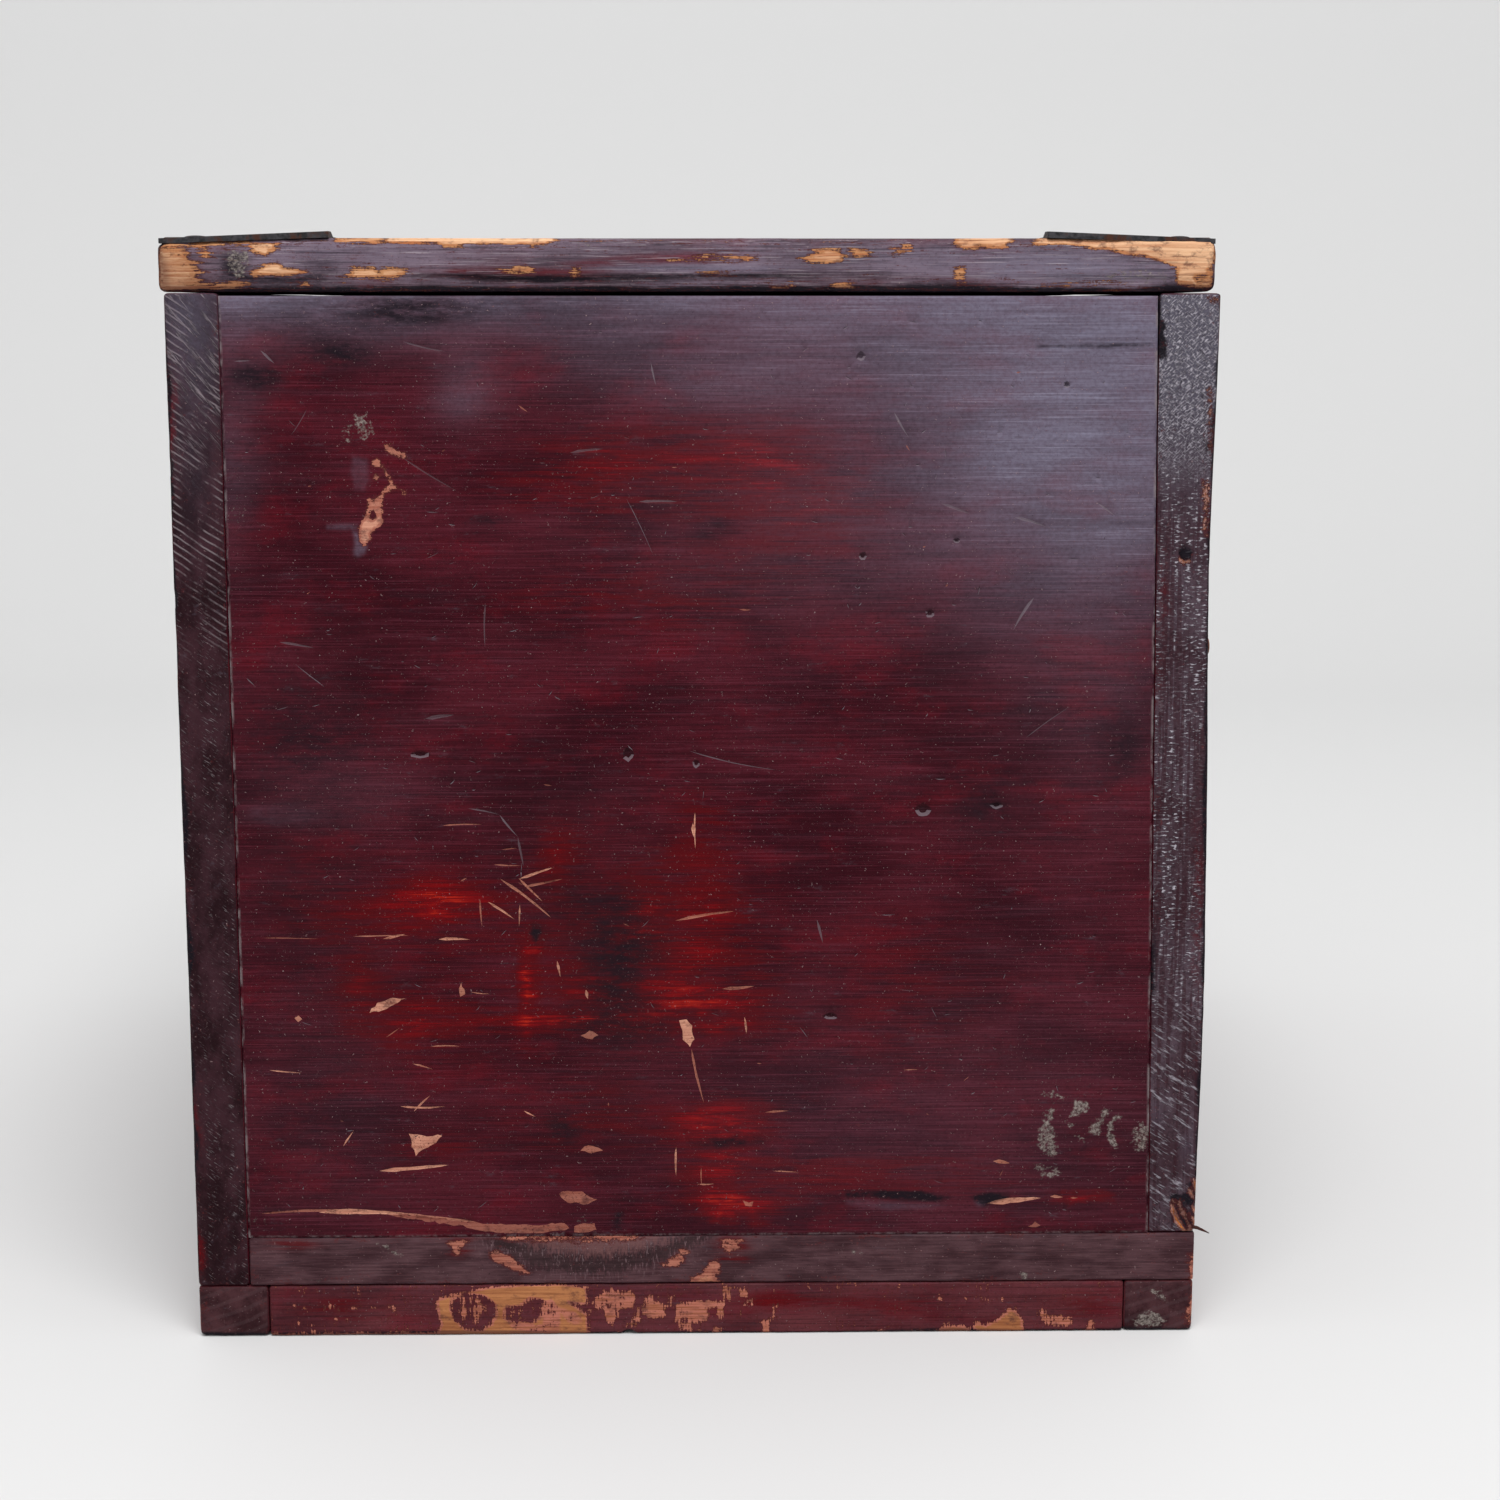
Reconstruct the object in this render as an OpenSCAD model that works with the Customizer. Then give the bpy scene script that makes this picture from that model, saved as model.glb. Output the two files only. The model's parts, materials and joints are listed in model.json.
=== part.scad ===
// Lacquered writing box with a fixed rear top board, a hinged lid, a sliding till and two drawers.
// Millimetres. X is the width, +Y the drawer front, -Y the plain back panel, +Z up.
// The origin lies on the floor, under the middle of the whole box.

/* [Case] */
// Outside width across the two side walls
case_w = 270; // [230:1:330]
// Outside depth from the back face to the front face
case_d = 380; // [330:1:460]
// Clear height from the bottom board to the top of the side walls
inner_h = 251.3; // [240:0.1:320]
// Thickness of the side walls
wall_t = 14; // [11:0.5:18]
// Thickness of the back panel
back_t = 12; // [9:0.5:16]
// Thickness of the compartment front board
front_t = 13; // [9:0.5:16]
// Thickness of the bottom board
bottom_t = 13.6; // [9:0.1:18]
// Height lost by the back panel as it dried and shrank
panel_shrink = 0.8; // [0:0.1:2]

/* [Base] */
// Height of the base frame
base_h = 14.4; // [10:0.1:24]
// Width of the two base runners
runner_w = 19; // [17:0.5:30]
// Depth of the front and rear base rails
rail_d = 20; // [12:0.5:30]

/* [Top] */
// Thickness of the rear top board
top_t = 13.8; // [11:0.1:18]
// Depth of the rear top board, from the back face to its front edge
rear_top_d = 160; // [120:1:190]
// Joint gap between the rear top board and the lid
lid_gap = 1; // [0.6:0.1:2]
// Gap between the closed lid and the case
lid_seat_gap = 0.3; // [0.2:0.05:1]
// How far the lid stands out past the front face
lid_overhang = 4; // [0:0.5:8]
// How far the top boards sit to the left of the case
top_shift = 1.3; // [0:0.1:2]
// Radius worn on the long edges of the top boards
top_edge_r = 2.5; // [1:0.1:4]
// Width of a cleat under the lid
cleat_w = 22; // [14:1:34]
// Thickness of a cleat under the lid
cleat_t = 8; // [5:0.5:12]
// Distance from the inner wall to a cleat
cleat_inset = 34; // [20:1:60]
// Room between the ends of a cleat and the opening
cleat_end_gap = 9; // [8:0.5:20]

/* [Inside] */
// Height of the lower drawer bay
lower_bay_h = 86; // [70:1:92]
// Height of the upper drawer bay
upper_bay_h = 62; // [56:1:70]
// Thickness of the board between the drawers
divider_t = 9; // [7:0.5:12]
// Thickness of the compartment floor
floor_t = 9; // [7:0.5:12]
// Width of a till ledge
ledge_w = 10; // [6:0.5:16]
// Height of a till ledge
ledge_h = 9; // [6:0.5:14]

/* [Till] */
// Length of the till, front to back
till_l = 205; // [150:1:240]
// Height of the till
till_h = 32; // [20:1:36]
// Thickness of the till walls
till_t = 6; // [4:0.5:8]
// Thickness of the till bottom
till_bottom_t = 5; // [3:0.5:7]
// Width of the brush trough in the till
trough_w = 78; // [50:1:110]
// Height by which the till divider stays below the till rim
divider_drop = 5; // [0:0.5:10]
// Running gap at each side of the till
till_side_gap = 0.6; // [0.3:0.1:1.5]
// Gap between the till and the front board when it stands forward
till_end_gap = 1; // [0.5:0.1:3]
// Headroom between the till rim and the cleats
till_headroom = 5; // [2:0.5:10]

/* [Drawers] */
// Thickness of a drawer front
drawer_front_t = 14; // [11:0.5:18]
// Thickness of drawer sides and backs
drawer_side_t = 8; // [6:0.5:11]
// Thickness of a drawer bottom
drawer_bottom_t = 6; // [4:0.5:9]
// Depth of the lap that takes sides and bottom into a drawer front
drawer_lap = 7; // [4:0.5:9]
// Running gap at each side of a drawer
drawer_side_gap = 0.5; // [0.3:0.1:1.5]
// Running gap above a drawer front
drawer_top_gap = 0.8; // [0.3:0.1:2]
// Height by which drawer sides and backs stay below the drawer front
drawer_side_drop = 6; // [0:0.5:12]
// Gap between a drawer and the back panel
drawer_back_gap = 4; // [2:0.5:12]
// Resting gap under a sliding piece
rest_gap = 0.3; // [0.2:0.05:0.5]

/* [Pulls] */
// Distance between the two posts of a pull
pull_span = 64; // [50:1:90]
// Drop of the bail from the post eyes to the middle of its bar
pull_drop = 24; // [20:0.5:28]
// Radius of the bail wire
bail_r = 2; // [1.7:0.1:2.6]
// Radius of the corners of the bail
bail_bend_r = 10; // [6:0.5:14]
// Radius of the bail ends in the post eyes
bail_pin_r = 1.5; // [1:0.1:1.6]
// Gap between a leg of the bail and the post eye beside it
bail_leg_gap = 1; // [0.5:0.1:2]
// Length of a bail end past its post eye
bail_pin_out = 1; // [0.5:0.1:2]
// Outer radius of a post eye
eye_r = 4.2; // [3.4:0.1:5]
// Width of a post eye
eye_w = 5; // [4:0.5:8]
// Stand-off of the bail axis from the drawer front
eye_out = 6; // [5.5:0.1:9]
// Radius of the rosette behind a post
rosette_r = 9; // [6:0.5:12]
// Thickness of the rosette
rosette_t = 1.2; // [0.8:0.1:2]
// Radius of the post shank through the drawer front
shank_r = 1.8; // [1.4:0.1:2]
// Radius of the clench plate inside the drawer
clench_r = 5; // [3:0.5:7]
// Thickness of the clench plate
clench_t = 1; // [0.6:0.1:2]

/* [Hinges] */
// Width of a hinge leaf
hinge_w = 43; // [36:0.5:56]
// Thickness of the hinge sheet iron
leaf_t = 1.3; // [1:0.1:1.6]
// Length of the lid leaf from the hinge axis
lid_leaf_l = 96; // [70:1:120]
// Corner cut at the tip of the lid leaf
leaf_chamfer = 13; // [6:0.5:18]
// Distance from the leaf to the end of the board
leaf_inset = 0.6; // [0:0.1:3]
// Outer radius of a hinge knuckle
knuckle_r = 2; // [1.8:0.1:2.4]
// Height of the hinge axis above the leaves
pivot_lift = 0.3; // [0.2:0.05:0.8]
// Running gap beside a knuckle
knuckle_gap = 0.4; // [0.3:0.05:0.8]
// Radius of the hinge pin
hinge_pin_r = 1; // [0.8:0.05:1.2]
// Radius of a nail head
nail_head_r = 2.8; // [2:0.1:3.6]
// Height of a nail head above the leaf
nail_head_h = 0.35; // [0.2:0.05:0.4]
// Radius of a nail shank
nail_r = 1.1; // [0.8:0.1:1.4]
// Length of a nail that ends in a top board
nail_short = 11; // [8:0.5:12]
// Length of a nail that runs through the top board into a side wall
nail_long = 28; // [24:0.5:34]
// Distance from a nail to the edge of its leaf
nail_edge = 7; // [5:0.5:10]
// Nails in each row along a leaf
nail_rows = 3; // [2:1:5]

/* [Pegs] */
// Radius of the wooden pegs
peg_r = 2; // [1.5:0.1:2.4]
// Length of a peg through a side wall
peg_l = 30; // [26:0.5:40]
// Distance from the first and last peg to the end of a joint
peg_edge = 24; // [14:1:40]
// Pegs along each edge of the back panel
back_pegs = 4; // [2:1:6]
// Pegs along each end of the compartment front
front_pegs = 2; // [2:1:3]
// Pegs along each edge of a shelf board
shelf_pegs = 3; // [2:1:5]
// Length of a base peg above the base frame
base_peg_in = 10; // [6:0.5:12]

/* [Fits] */
// Radial gap around a peg or a nail in its hole
peg_fit = 0.05; // [0.02:0.01:0.1]
// Radial running gap around a pin in its eye
pin_fit = 0.05; // [0.02:0.01:0.1]

/* [Hidden] */
$fn = 48;
// Length by which a cutting tool runs past a face
past = 1;

// Colours
lacquer = "#4a1a22";
end_grain = "#3d2a33";
bare_wood = "#b58a5c";
iron = "#2c2a2b";
peg_wood = "#6b4a33";

// Left, right, back and front of the case
x_l = -case_w / 2;
x_r = case_w / 2;
pull_reach = eye_out + eye_r;
y_b = -(case_d + pull_reach) / 2;
y_f = y_b + case_d;

// Faces of the space inside the walls
x_il = x_l + wall_t;
x_ir = x_r - wall_t;
y_ib = y_b + back_t;
y_if = y_f - front_t;

// Levels, from the floor up
z_in = base_h + bottom_t;
z_div = z_in + lower_bay_h;
z_upper = z_div + divider_t;
z_under_floor = z_upper + upper_bay_h;
z_floor = z_under_floor + floor_t;
z_wall = z_in + inner_h;
z_lid = z_wall + lid_seat_gap;
z_top = z_wall + top_t;
z_axis = z_top + leaf_t + pivot_lift;

// Top boards
x_tl = x_l - top_shift;
x_tr = x_r - top_shift;
y_axis = y_b + rear_top_d + lid_gap / 2;
y_lid_b = y_axis + lid_gap / 2;
y_lid_f = y_f + lid_overhang;

// Till
z_till_top = z_wall - cleat_t - till_headroom;
z_till = z_till_top - till_h;
z_ledge = z_till - rest_gap;
x_till_l = x_il + till_side_gap;
x_till_r = x_ir - till_side_gap;
y_till_f = y_if - till_end_gap;
y_till_b = y_till_f - till_l;
z_till_floor = z_till + till_bottom_t;
x_trough = x_till_l + till_t + trough_w;

// Drawers: floor level and bay height of each
UPPER = [z_upper, upper_bay_h];
LOWER = [z_in, lower_bay_h];
x_dl = x_il + drawer_side_gap;
x_dr = x_ir - drawer_side_gap;
y_db = y_ib + drawer_back_gap;
y_lap = y_f - drawer_front_t + drawer_lap;

// Hinge knuckles: the rear leaf has the outer two, the lid leaf the middle one
knuckle_w = (hinge_w - 2 * knuckle_gap) / 3;
knuckle_step = knuckle_w + knuckle_gap;
LEFT = -1;
RIGHT = 1;
function hinge_x(side) = side == LEFT ? x_tl + leaf_inset : x_tr - leaf_inset - hinge_w;

function along(from, to, count, i) = from + (to - from) * i / (count - 1);

function drawer_z(bay) = bay[0] + rest_gap;
function drawer_top(bay) = bay[0] + bay[1] - drawer_top_gap;
function pull_z(bay) = (drawer_z(bay) + drawer_top(bay)) / 2 + pull_drop / 2;

// Peg places on a side wall, as [y, z]
back_peg_places = [for (i = [0 : back_pegs - 1])
    [y_b + back_t / 2, along(z_in + peg_edge, z_wall - peg_edge, back_pegs, i)]];
front_peg_places = [for (i = [0 : front_pegs - 1])
    [y_f - front_t / 2, along(z_under_floor + peg_edge, z_wall - peg_edge, front_pegs, i)]];
function shelf_peg_places(z) = [for (i = [0 : shelf_pegs - 1])
    [along(y_ib + peg_edge, y_if - peg_edge, shelf_pegs, i), z]];
shared_peg_places = concat(back_peg_places, front_peg_places,
    shelf_peg_places(z_div + divider_t / 2),
    shelf_peg_places(z_under_floor + floor_t / 2));
left_peg_places = concat(shared_peg_places, shelf_peg_places(base_h + bottom_t / 2));
right_peg_places = shared_peg_places;

// A plain board between two corners
module board(low, high) translate(low) cube(high - low);

// A rod along X from x0 to x1 at [y, z]
module rod_x(x0, x1, at, r) translate([x0, at[0], at[1]]) rotate([0, 90, 0]) cylinder(h = x1 - x0, r = r);

// A rod along Y from y0 to y1 at [x, z]
module rod_y(y0, y1, at, r) translate([at[0], y0, at[1]]) rotate([-90, 0, 0]) cylinder(h = y1 - y0, r = r);

// Pegs driven through a side wall, or with fit and extra the holes that take them
module side_pegs(side, fit = 0, extra = 0) {
    places = side == LEFT ? left_peg_places : right_peg_places;
    for (p = places)
        if (side == LEFT) rod_x(x_l - extra, x_l + peg_l, p, peg_r + fit);
        else rod_x(x_r - peg_l, x_r + extra, p, peg_r + fit);
}

module side_peg_holes() {
    side_pegs(LEFT, peg_fit, past);
    side_pegs(RIGHT, peg_fit, past);
}

// Upright pegs through the base runners, midway between the shelf pegs, or their holes
module upright_pegs(fit = 0, extra = 0) {
    for (x = [x_l + wall_t / 2, x_r - wall_t / 2], i = [0 : shelf_pegs - 2])
        translate([x, along(y_ib + peg_edge, y_if - peg_edge, shelf_pegs, i + 1 / 2), -extra])
            cylinder(h = base_h + base_peg_in + extra, r = peg_r + fit);
}

// Case

module left_wall() color(end_grain) difference() {
    board([x_l, y_b, base_h], [x_il, y_f, z_wall]);
    side_pegs(LEFT, peg_fit, past);
    upright_pegs(peg_fit);
    rear_nail_holes();
}

module right_wall() color(end_grain) difference() {
    board([x_ir, y_b, z_in], [x_r, y_f, z_wall]);
    side_pegs(RIGHT, peg_fit, past);
    rear_nail_holes();
}

module back_panel() color(lacquer) difference() {
    board([x_il, y_b, z_in], [x_ir, y_ib, z_wall - panel_shrink]);
    side_peg_holes();
}

// The bottom board butts against the left wall and runs under the right wall
module bottom_board() color(lacquer) difference() {
    board([x_il, y_b, base_h], [x_r, y_f, z_in]);
    side_pegs(LEFT, peg_fit, past);
    upright_pegs(peg_fit);
}

module compartment_front() color(lacquer) difference() {
    board([x_il, y_if, z_under_floor], [x_ir, y_f, z_wall]);
    side_peg_holes();
}

module compartment_floor() color(bare_wood) difference() {
    board([x_il, y_ib, z_under_floor], [x_ir, y_if, z_floor]);
    side_peg_holes();
}

module drawer_divider() color(bare_wood) difference() {
    board([x_il, y_ib, z_div], [x_ir, y_f, z_upper]);
    side_peg_holes();
}

module base_runner(side) color(end_grain) difference() {
    x = side == LEFT ? x_l : x_r - runner_w;
    board([x, y_b, 0], [x + runner_w, y_f, base_h]);
    upright_pegs(peg_fit, past);
}

module base_rail(y) color(lacquer)
    board([x_l + runner_w, y, 0], [x_r - runner_w, y + rail_d, base_h]);

module till_ledge(x) color(bare_wood)
    board([x, y_ib, z_ledge - ledge_h], [x + ledge_w, y_if, z_ledge]);

// Top boards

// A board with its four long edges worn round, between two y values and two z values
module worn_plank(y0, y1, z0, z1) {
    r = min(top_edge_r, (z1 - z0) / 2);
    translate([x_tl, 0, 0]) rotate([90, 0, 90]) linear_extrude(x_tr - x_tl) {
        translate([y0 + r, z0]) square([y1 - y0 - 2 * r, z1 - z0]);
        translate([y0, z0 + r]) square([y1 - y0, z1 - z0 - 2 * r]);
        for (y = [y0 + r, y1 - r], z = [z0 + r, z1 - r]) translate([y, z]) circle(r);
    }
}

// Groove that lets the knuckles turn between the two top boards
module knuckle_relief() {
    for (side = [LEFT, RIGHT])
        rod_x(hinge_x(side) - past, hinge_x(side) + hinge_w + past, [y_axis, z_axis], knuckle_r + knuckle_gap);
}

module rear_top_board() color(lacquer) difference() {
    worn_plank(y_b, y_b + rear_top_d, z_wall, z_top);
    knuckle_relief();
    rear_nail_holes();
}

module lid_board() color(lacquer) difference() {
    worn_plank(y_lid_b, y_lid_f, z_lid, z_top);
    knuckle_relief();
    lid_nail_holes();
}

module lid_cleat(x) color(bare_wood)
    board([x, y_lid_b + cleat_end_gap, z_lid - cleat_t], [x + cleat_w, y_if - cleat_end_gap, z_lid]);

// Hinges

module knuckle(side, i) {
    x = hinge_x(side) + i * knuckle_step;
    rod_x(x, x + knuckle_w, [y_axis, z_axis], knuckle_r);
}

// Room cut in a leaf for the other leaf's knuckle
module knuckle_room(side, i) {
    x = hinge_x(side) + i * knuckle_step;
    rod_x(x - knuckle_gap, x + knuckle_w + knuckle_gap, [y_axis, z_axis], knuckle_r + knuckle_gap);
}

module pin_hole(side)
    rod_x(hinge_x(side) - past, hinge_x(side) + hinge_w + past, [y_axis, z_axis], hinge_pin_r + pin_fit);

module rear_leaf(side) color(iron) difference() {
    union() {
        board([hinge_x(side), y_b + leaf_inset, z_top], [hinge_x(side) + hinge_w, y_axis, z_top + leaf_t]);
        knuckle(side, 0);
        knuckle(side, 2);
    }
    knuckle_room(side, 1);
    pin_hole(side);
    rear_nail_holes();
}

module lid_leaf(side) color(iron) difference() {
    union() {
        translate([hinge_x(side), y_axis, z_top]) linear_extrude(leaf_t) polygon([
            [0, 0], [hinge_w, 0], [hinge_w, lid_leaf_l - leaf_chamfer],
            [hinge_w - leaf_chamfer, lid_leaf_l], [leaf_chamfer, lid_leaf_l],
            [0, lid_leaf_l - leaf_chamfer]]);
        knuckle(side, 1);
    }
    knuckle_room(side, 0);
    knuckle_room(side, 2);
    pin_hole(side);
    lid_nail_holes();
}

module hinge_pin(side) color(iron)
    rod_x(hinge_x(side), hinge_x(side) + hinge_w, [y_axis, z_axis], hinge_pin_r);

// Nails of the rear leaves: the outer column runs on into the side walls
module rear_nail_shanks(fit = 0) {
    for (side = [LEFT, RIGHT], column = [LEFT, RIGHT], i = [0 : nail_rows - 1])
        translate([hinge_x(side) + hinge_w / 2 + column * (hinge_w / 2 - nail_edge),
            along(y_b + 2 * nail_edge, y_axis - 2 * nail_edge, nail_rows, i), 0])
            nail_shank(column == side ? nail_long : nail_short, fit);
}

module lid_nail_shanks(fit = 0) {
    for (side = [LEFT, RIGHT], column = [LEFT, RIGHT], i = [0 : nail_rows - 1])
        translate([hinge_x(side) + hinge_w / 2 + column * (hinge_w / 2 - nail_edge),
            along(y_axis + 2 * nail_edge, y_axis + lid_leaf_l - leaf_chamfer - nail_edge / 2, nail_rows, i), 0])
            nail_shank(nail_short, fit);
}

// A nail with its head, or with a fit its hole
module nail_shank(length, fit) {
    top = z_top + leaf_t;
    translate([0, 0, top - length]) cylinder(h = length + (fit > 0 ? past : 0), r = nail_r + fit);
    if (fit == 0) translate([0, 0, top]) cylinder(h = nail_head_h, r = nail_head_r);
}

module rear_nail_holes() rear_nail_shanks(peg_fit);

module lid_nail_holes() lid_nail_shanks(peg_fit);

// Till

module till_bottom() color(bare_wood)
    board([x_till_l, y_till_b, z_till], [x_till_r, y_till_f, z_till_floor]);

module till_end(y) color(bare_wood)
    board([x_till_l, y, z_till_floor], [x_till_r, y + till_t, z_till_top]);

module till_side(x) color(bare_wood)
    board([x, y_till_b + till_t, z_till_floor], [x + till_t, y_till_f - till_t, z_till_top]);

module till_divider() color(bare_wood)
    board([x_trough, y_till_b + till_t, z_till_floor],
        [x_trough + till_t, y_till_f - till_t, z_till_top - divider_drop]);

// Drawers

module drawer_front(bay) color(lacquer) difference() {
    z0 = drawer_z(bay);
    z1 = drawer_top(bay);
    y0 = y_f - drawer_front_t;
    z_side = z1 - drawer_side_drop;
    board([x_dl, y0, z0], [x_dr, y_f, z1]);
    board([x_dl - past, y0 - past, z0 - past], [x_dl + drawer_side_t, y_lap, z_side]);
    board([x_dr - drawer_side_t, y0 - past, z0 - past], [x_dr + past, y_lap, z_side]);
    board([x_dl - past, y0 - past, z0 - past], [x_dr + past, y_lap, z0 + drawer_bottom_t]);
    for (x = [-pull_span / 2, pull_span / 2])
        rod_y(y0 - past, y_f + past, [x, pull_z(bay)], shank_r + peg_fit);
}

module drawer_side(bay, x) color(bare_wood)
    board([x, y_db, drawer_z(bay) + drawer_bottom_t],
        [x + drawer_side_t, y_lap, drawer_top(bay) - drawer_side_drop]);

module drawer_back(bay) color(bare_wood)
    board([x_dl + drawer_side_t, y_db, drawer_z(bay) + drawer_bottom_t],
        [x_dr - drawer_side_t, y_db + drawer_side_t, drawer_top(bay) - drawer_side_drop]);

module drawer_bottom(bay) color(bare_wood)
    board([x_dl, y_db, drawer_z(bay)], [x_dr, y_lap, drawer_z(bay) + drawer_bottom_t]);

// Pulls

module pull_posts(bay) color(iron) {
    z = pull_z(bay);
    for (x = [-pull_span / 2, pull_span / 2]) difference() {
        union() {
            rod_y(y_f - drawer_front_t - clench_t, y_f + eye_out, [x, z], shank_r);
            rod_y(y_f, y_f + rosette_t, [x, z], rosette_r);
            rod_y(y_f - drawer_front_t - clench_t, y_f - drawer_front_t, [x, z], clench_r);
            rod_x(x - eye_w / 2, x + eye_w / 2, [y_f + eye_out, z], eye_r);
        }
        rod_x(x - eye_w, x + eye_w, [y_f + eye_out, z], bail_pin_r + pin_fit);
    }
}

module pull_bail(bay) color(iron) translate([0, y_f + eye_out, pull_z(bay)]) {
    leg_x = pull_span / 2 - eye_w / 2 - bail_leg_gap - bail_r;
    tip_x = pull_span / 2 + eye_w / 2 + bail_pin_out;
    for (side = [LEFT, RIGHT]) {
        rod_x(min(side * leg_x, side * tip_x), max(side * leg_x, side * tip_x), [0, 0], bail_pin_r);
        translate([side * leg_x, 0, 0]) sphere(bail_r);
        translate([side * leg_x, 0, bail_bend_r - pull_drop]) cylinder(h = pull_drop - bail_bend_r, r = bail_r);
        translate([side * (leg_x - bail_bend_r), 0, bail_bend_r - pull_drop])
            rotate([90, 0, 0]) rotate([0, 0, side == RIGHT ? -90 : 180])
                rotate_extrude(angle = 90) translate([bail_bend_r, 0]) circle(bail_r);
    }
    rod_x(bail_bend_r - leg_x, leg_x - bail_bend_r, [0, -pull_drop], bail_r);
}

left_wall();
right_wall();
back_panel();
bottom_board();
compartment_front();
compartment_floor();
drawer_divider();
rear_top_board();
base_runner(LEFT);  // base_runner_left
base_runner(RIGHT);  // base_runner_right
base_rail(y_b);  // base_rail_rear
base_rail(y_f - rail_d);  // base_rail_front
color(peg_wood) side_pegs(LEFT);  // wall_pegs_left
color(peg_wood) side_pegs(RIGHT);  // wall_pegs_right
color(peg_wood) upright_pegs();  // base_pegs
till_ledge(x_il);  // till_ledge_left
till_ledge(x_ir - ledge_w);  // till_ledge_right
rear_leaf(LEFT);  // hinge_left_rear_leaf
hinge_pin(LEFT);  // hinge_left_pin
rear_leaf(RIGHT);  // hinge_right_rear_leaf
hinge_pin(RIGHT);  // hinge_right_pin
color(iron) rear_nail_shanks();  // rear_leaf_nails
lid_board();
lid_cleat(x_il + cleat_inset);  // lid_cleat_left
lid_cleat(x_ir - cleat_inset - cleat_w);  // lid_cleat_right
lid_leaf(LEFT);  // hinge_left_lid_leaf
lid_leaf(RIGHT);  // hinge_right_lid_leaf
color(iron) lid_nail_shanks();  // lid_leaf_nails
till_bottom();
till_end(y_till_f - till_t);  // till_front
till_end(y_till_b);  // till_back
till_side(x_till_l);  // till_left
till_side(x_till_r - till_t);  // till_right
till_divider();
drawer_front(UPPER);  // upper_drawer_front
drawer_side(UPPER, x_dl);  // upper_drawer_left
drawer_side(UPPER, x_dr - drawer_side_t);  // upper_drawer_right
drawer_back(UPPER);  // upper_drawer_back
drawer_bottom(UPPER);  // upper_drawer_bottom
pull_posts(UPPER);  // upper_pull_posts
pull_bail(UPPER);  // upper_pull_bail
drawer_front(LOWER);  // lower_drawer_front
drawer_side(LOWER, x_dl);  // lower_drawer_left
drawer_side(LOWER, x_dr - drawer_side_t);  // lower_drawer_right
drawer_back(LOWER);  // lower_drawer_back
drawer_bottom(LOWER);  // lower_drawer_bottom
pull_posts(LOWER);  // lower_pull_posts
pull_bail(LOWER);  // lower_pull_bail
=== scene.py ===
import json
import math
import random

import bmesh
import bpy
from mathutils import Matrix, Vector, noise
from mathutils.geometry import delaunay_2d_cdt


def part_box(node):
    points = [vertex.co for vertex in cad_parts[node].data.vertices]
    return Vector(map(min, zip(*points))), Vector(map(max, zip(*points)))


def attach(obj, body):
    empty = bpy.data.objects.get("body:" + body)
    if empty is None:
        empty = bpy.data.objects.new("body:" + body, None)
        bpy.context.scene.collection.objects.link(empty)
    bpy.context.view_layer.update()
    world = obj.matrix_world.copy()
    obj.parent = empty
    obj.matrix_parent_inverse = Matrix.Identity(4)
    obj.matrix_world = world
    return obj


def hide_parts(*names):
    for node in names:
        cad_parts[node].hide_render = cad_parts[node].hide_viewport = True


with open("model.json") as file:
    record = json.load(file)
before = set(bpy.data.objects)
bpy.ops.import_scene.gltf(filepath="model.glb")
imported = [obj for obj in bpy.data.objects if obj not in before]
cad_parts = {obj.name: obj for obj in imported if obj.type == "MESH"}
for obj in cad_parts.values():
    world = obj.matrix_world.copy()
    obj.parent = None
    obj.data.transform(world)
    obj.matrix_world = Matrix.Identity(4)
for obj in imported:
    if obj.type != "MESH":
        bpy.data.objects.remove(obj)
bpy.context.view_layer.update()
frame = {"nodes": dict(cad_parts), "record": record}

# Back panel.
# One wide board of softwood, brushed with brown-red lacquer, its grain running across the box.
# It stands on the bottom board between the side walls, and a long life has scratched and chipped it.
# Lengths are in millimetres here and in the sections below, and a mesh is scaled to metres at the end.

MM = 0.001
X_AXIS, Y_AXIS, Z_AXIS = range(3)
body_of = {node: body for body, nodes in frame["record"]["behaviour"]["bodies"].items() for node in nodes}


def span(node):
    """Lowest and highest corner of a piece of the frame, in millimetres."""
    low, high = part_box(node)
    return [c / MM for c in low], [c / MM for c in high]


def new_piece(name, points, faces, finish, node):
    """Makes a mesh from points in millimetres and puts it in the place of a node of the frame."""
    mesh = bpy.data.meshes.new(name)
    mesh.from_pydata([[c * MM for c in p] for p in points], [], faces)
    mesh.polygons.foreach_set("use_smooth", [True] * len(faces))
    mesh.materials.append(finish)
    piece = bpy.data.objects.new(name, mesh)
    bpy.context.scene.collection.objects.link(piece)
    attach(piece, body_of[node])
    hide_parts(node)
    return piece


def paint(piece, name, values, domain="POINT"):
    """Stores a value for each point or face, for the finish to read."""
    layer = piece.data.attributes.new(name, "FLOAT", domain)
    layer.data.foreach_set("value", values)


def tone(code):
    """A colour written as on a paint card, as linear red, green, blue and alpha."""
    channels = [int(code[i:i + 2], 16) / 255 for i in (1, 3, 5)]
    return [c / 12.92 if c <= 0.04045 else ((c + 0.055) / 1.055) ** 2.4 for c in channels] + [1]


def add_node(tree, kind, inputs=None, **settings):
    """Adds a node, and fills its inputs with values or links them to other nodes."""
    node = tree.nodes.new(kind)
    for key, value in settings.items():
        setattr(node, key, value)
    for key, value in (inputs or {}).items():
        if isinstance(value, bpy.types.NodeSocket):
            tree.links.new(value, node.inputs[key])
        else:
            node.inputs[key].default_value = value
    return node


def mix(tree, share, under, over):
    return add_node(tree, "ShaderNodeMix", {0: share, 6: under, 7: over}, data_type="RGBA").outputs[2]


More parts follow.
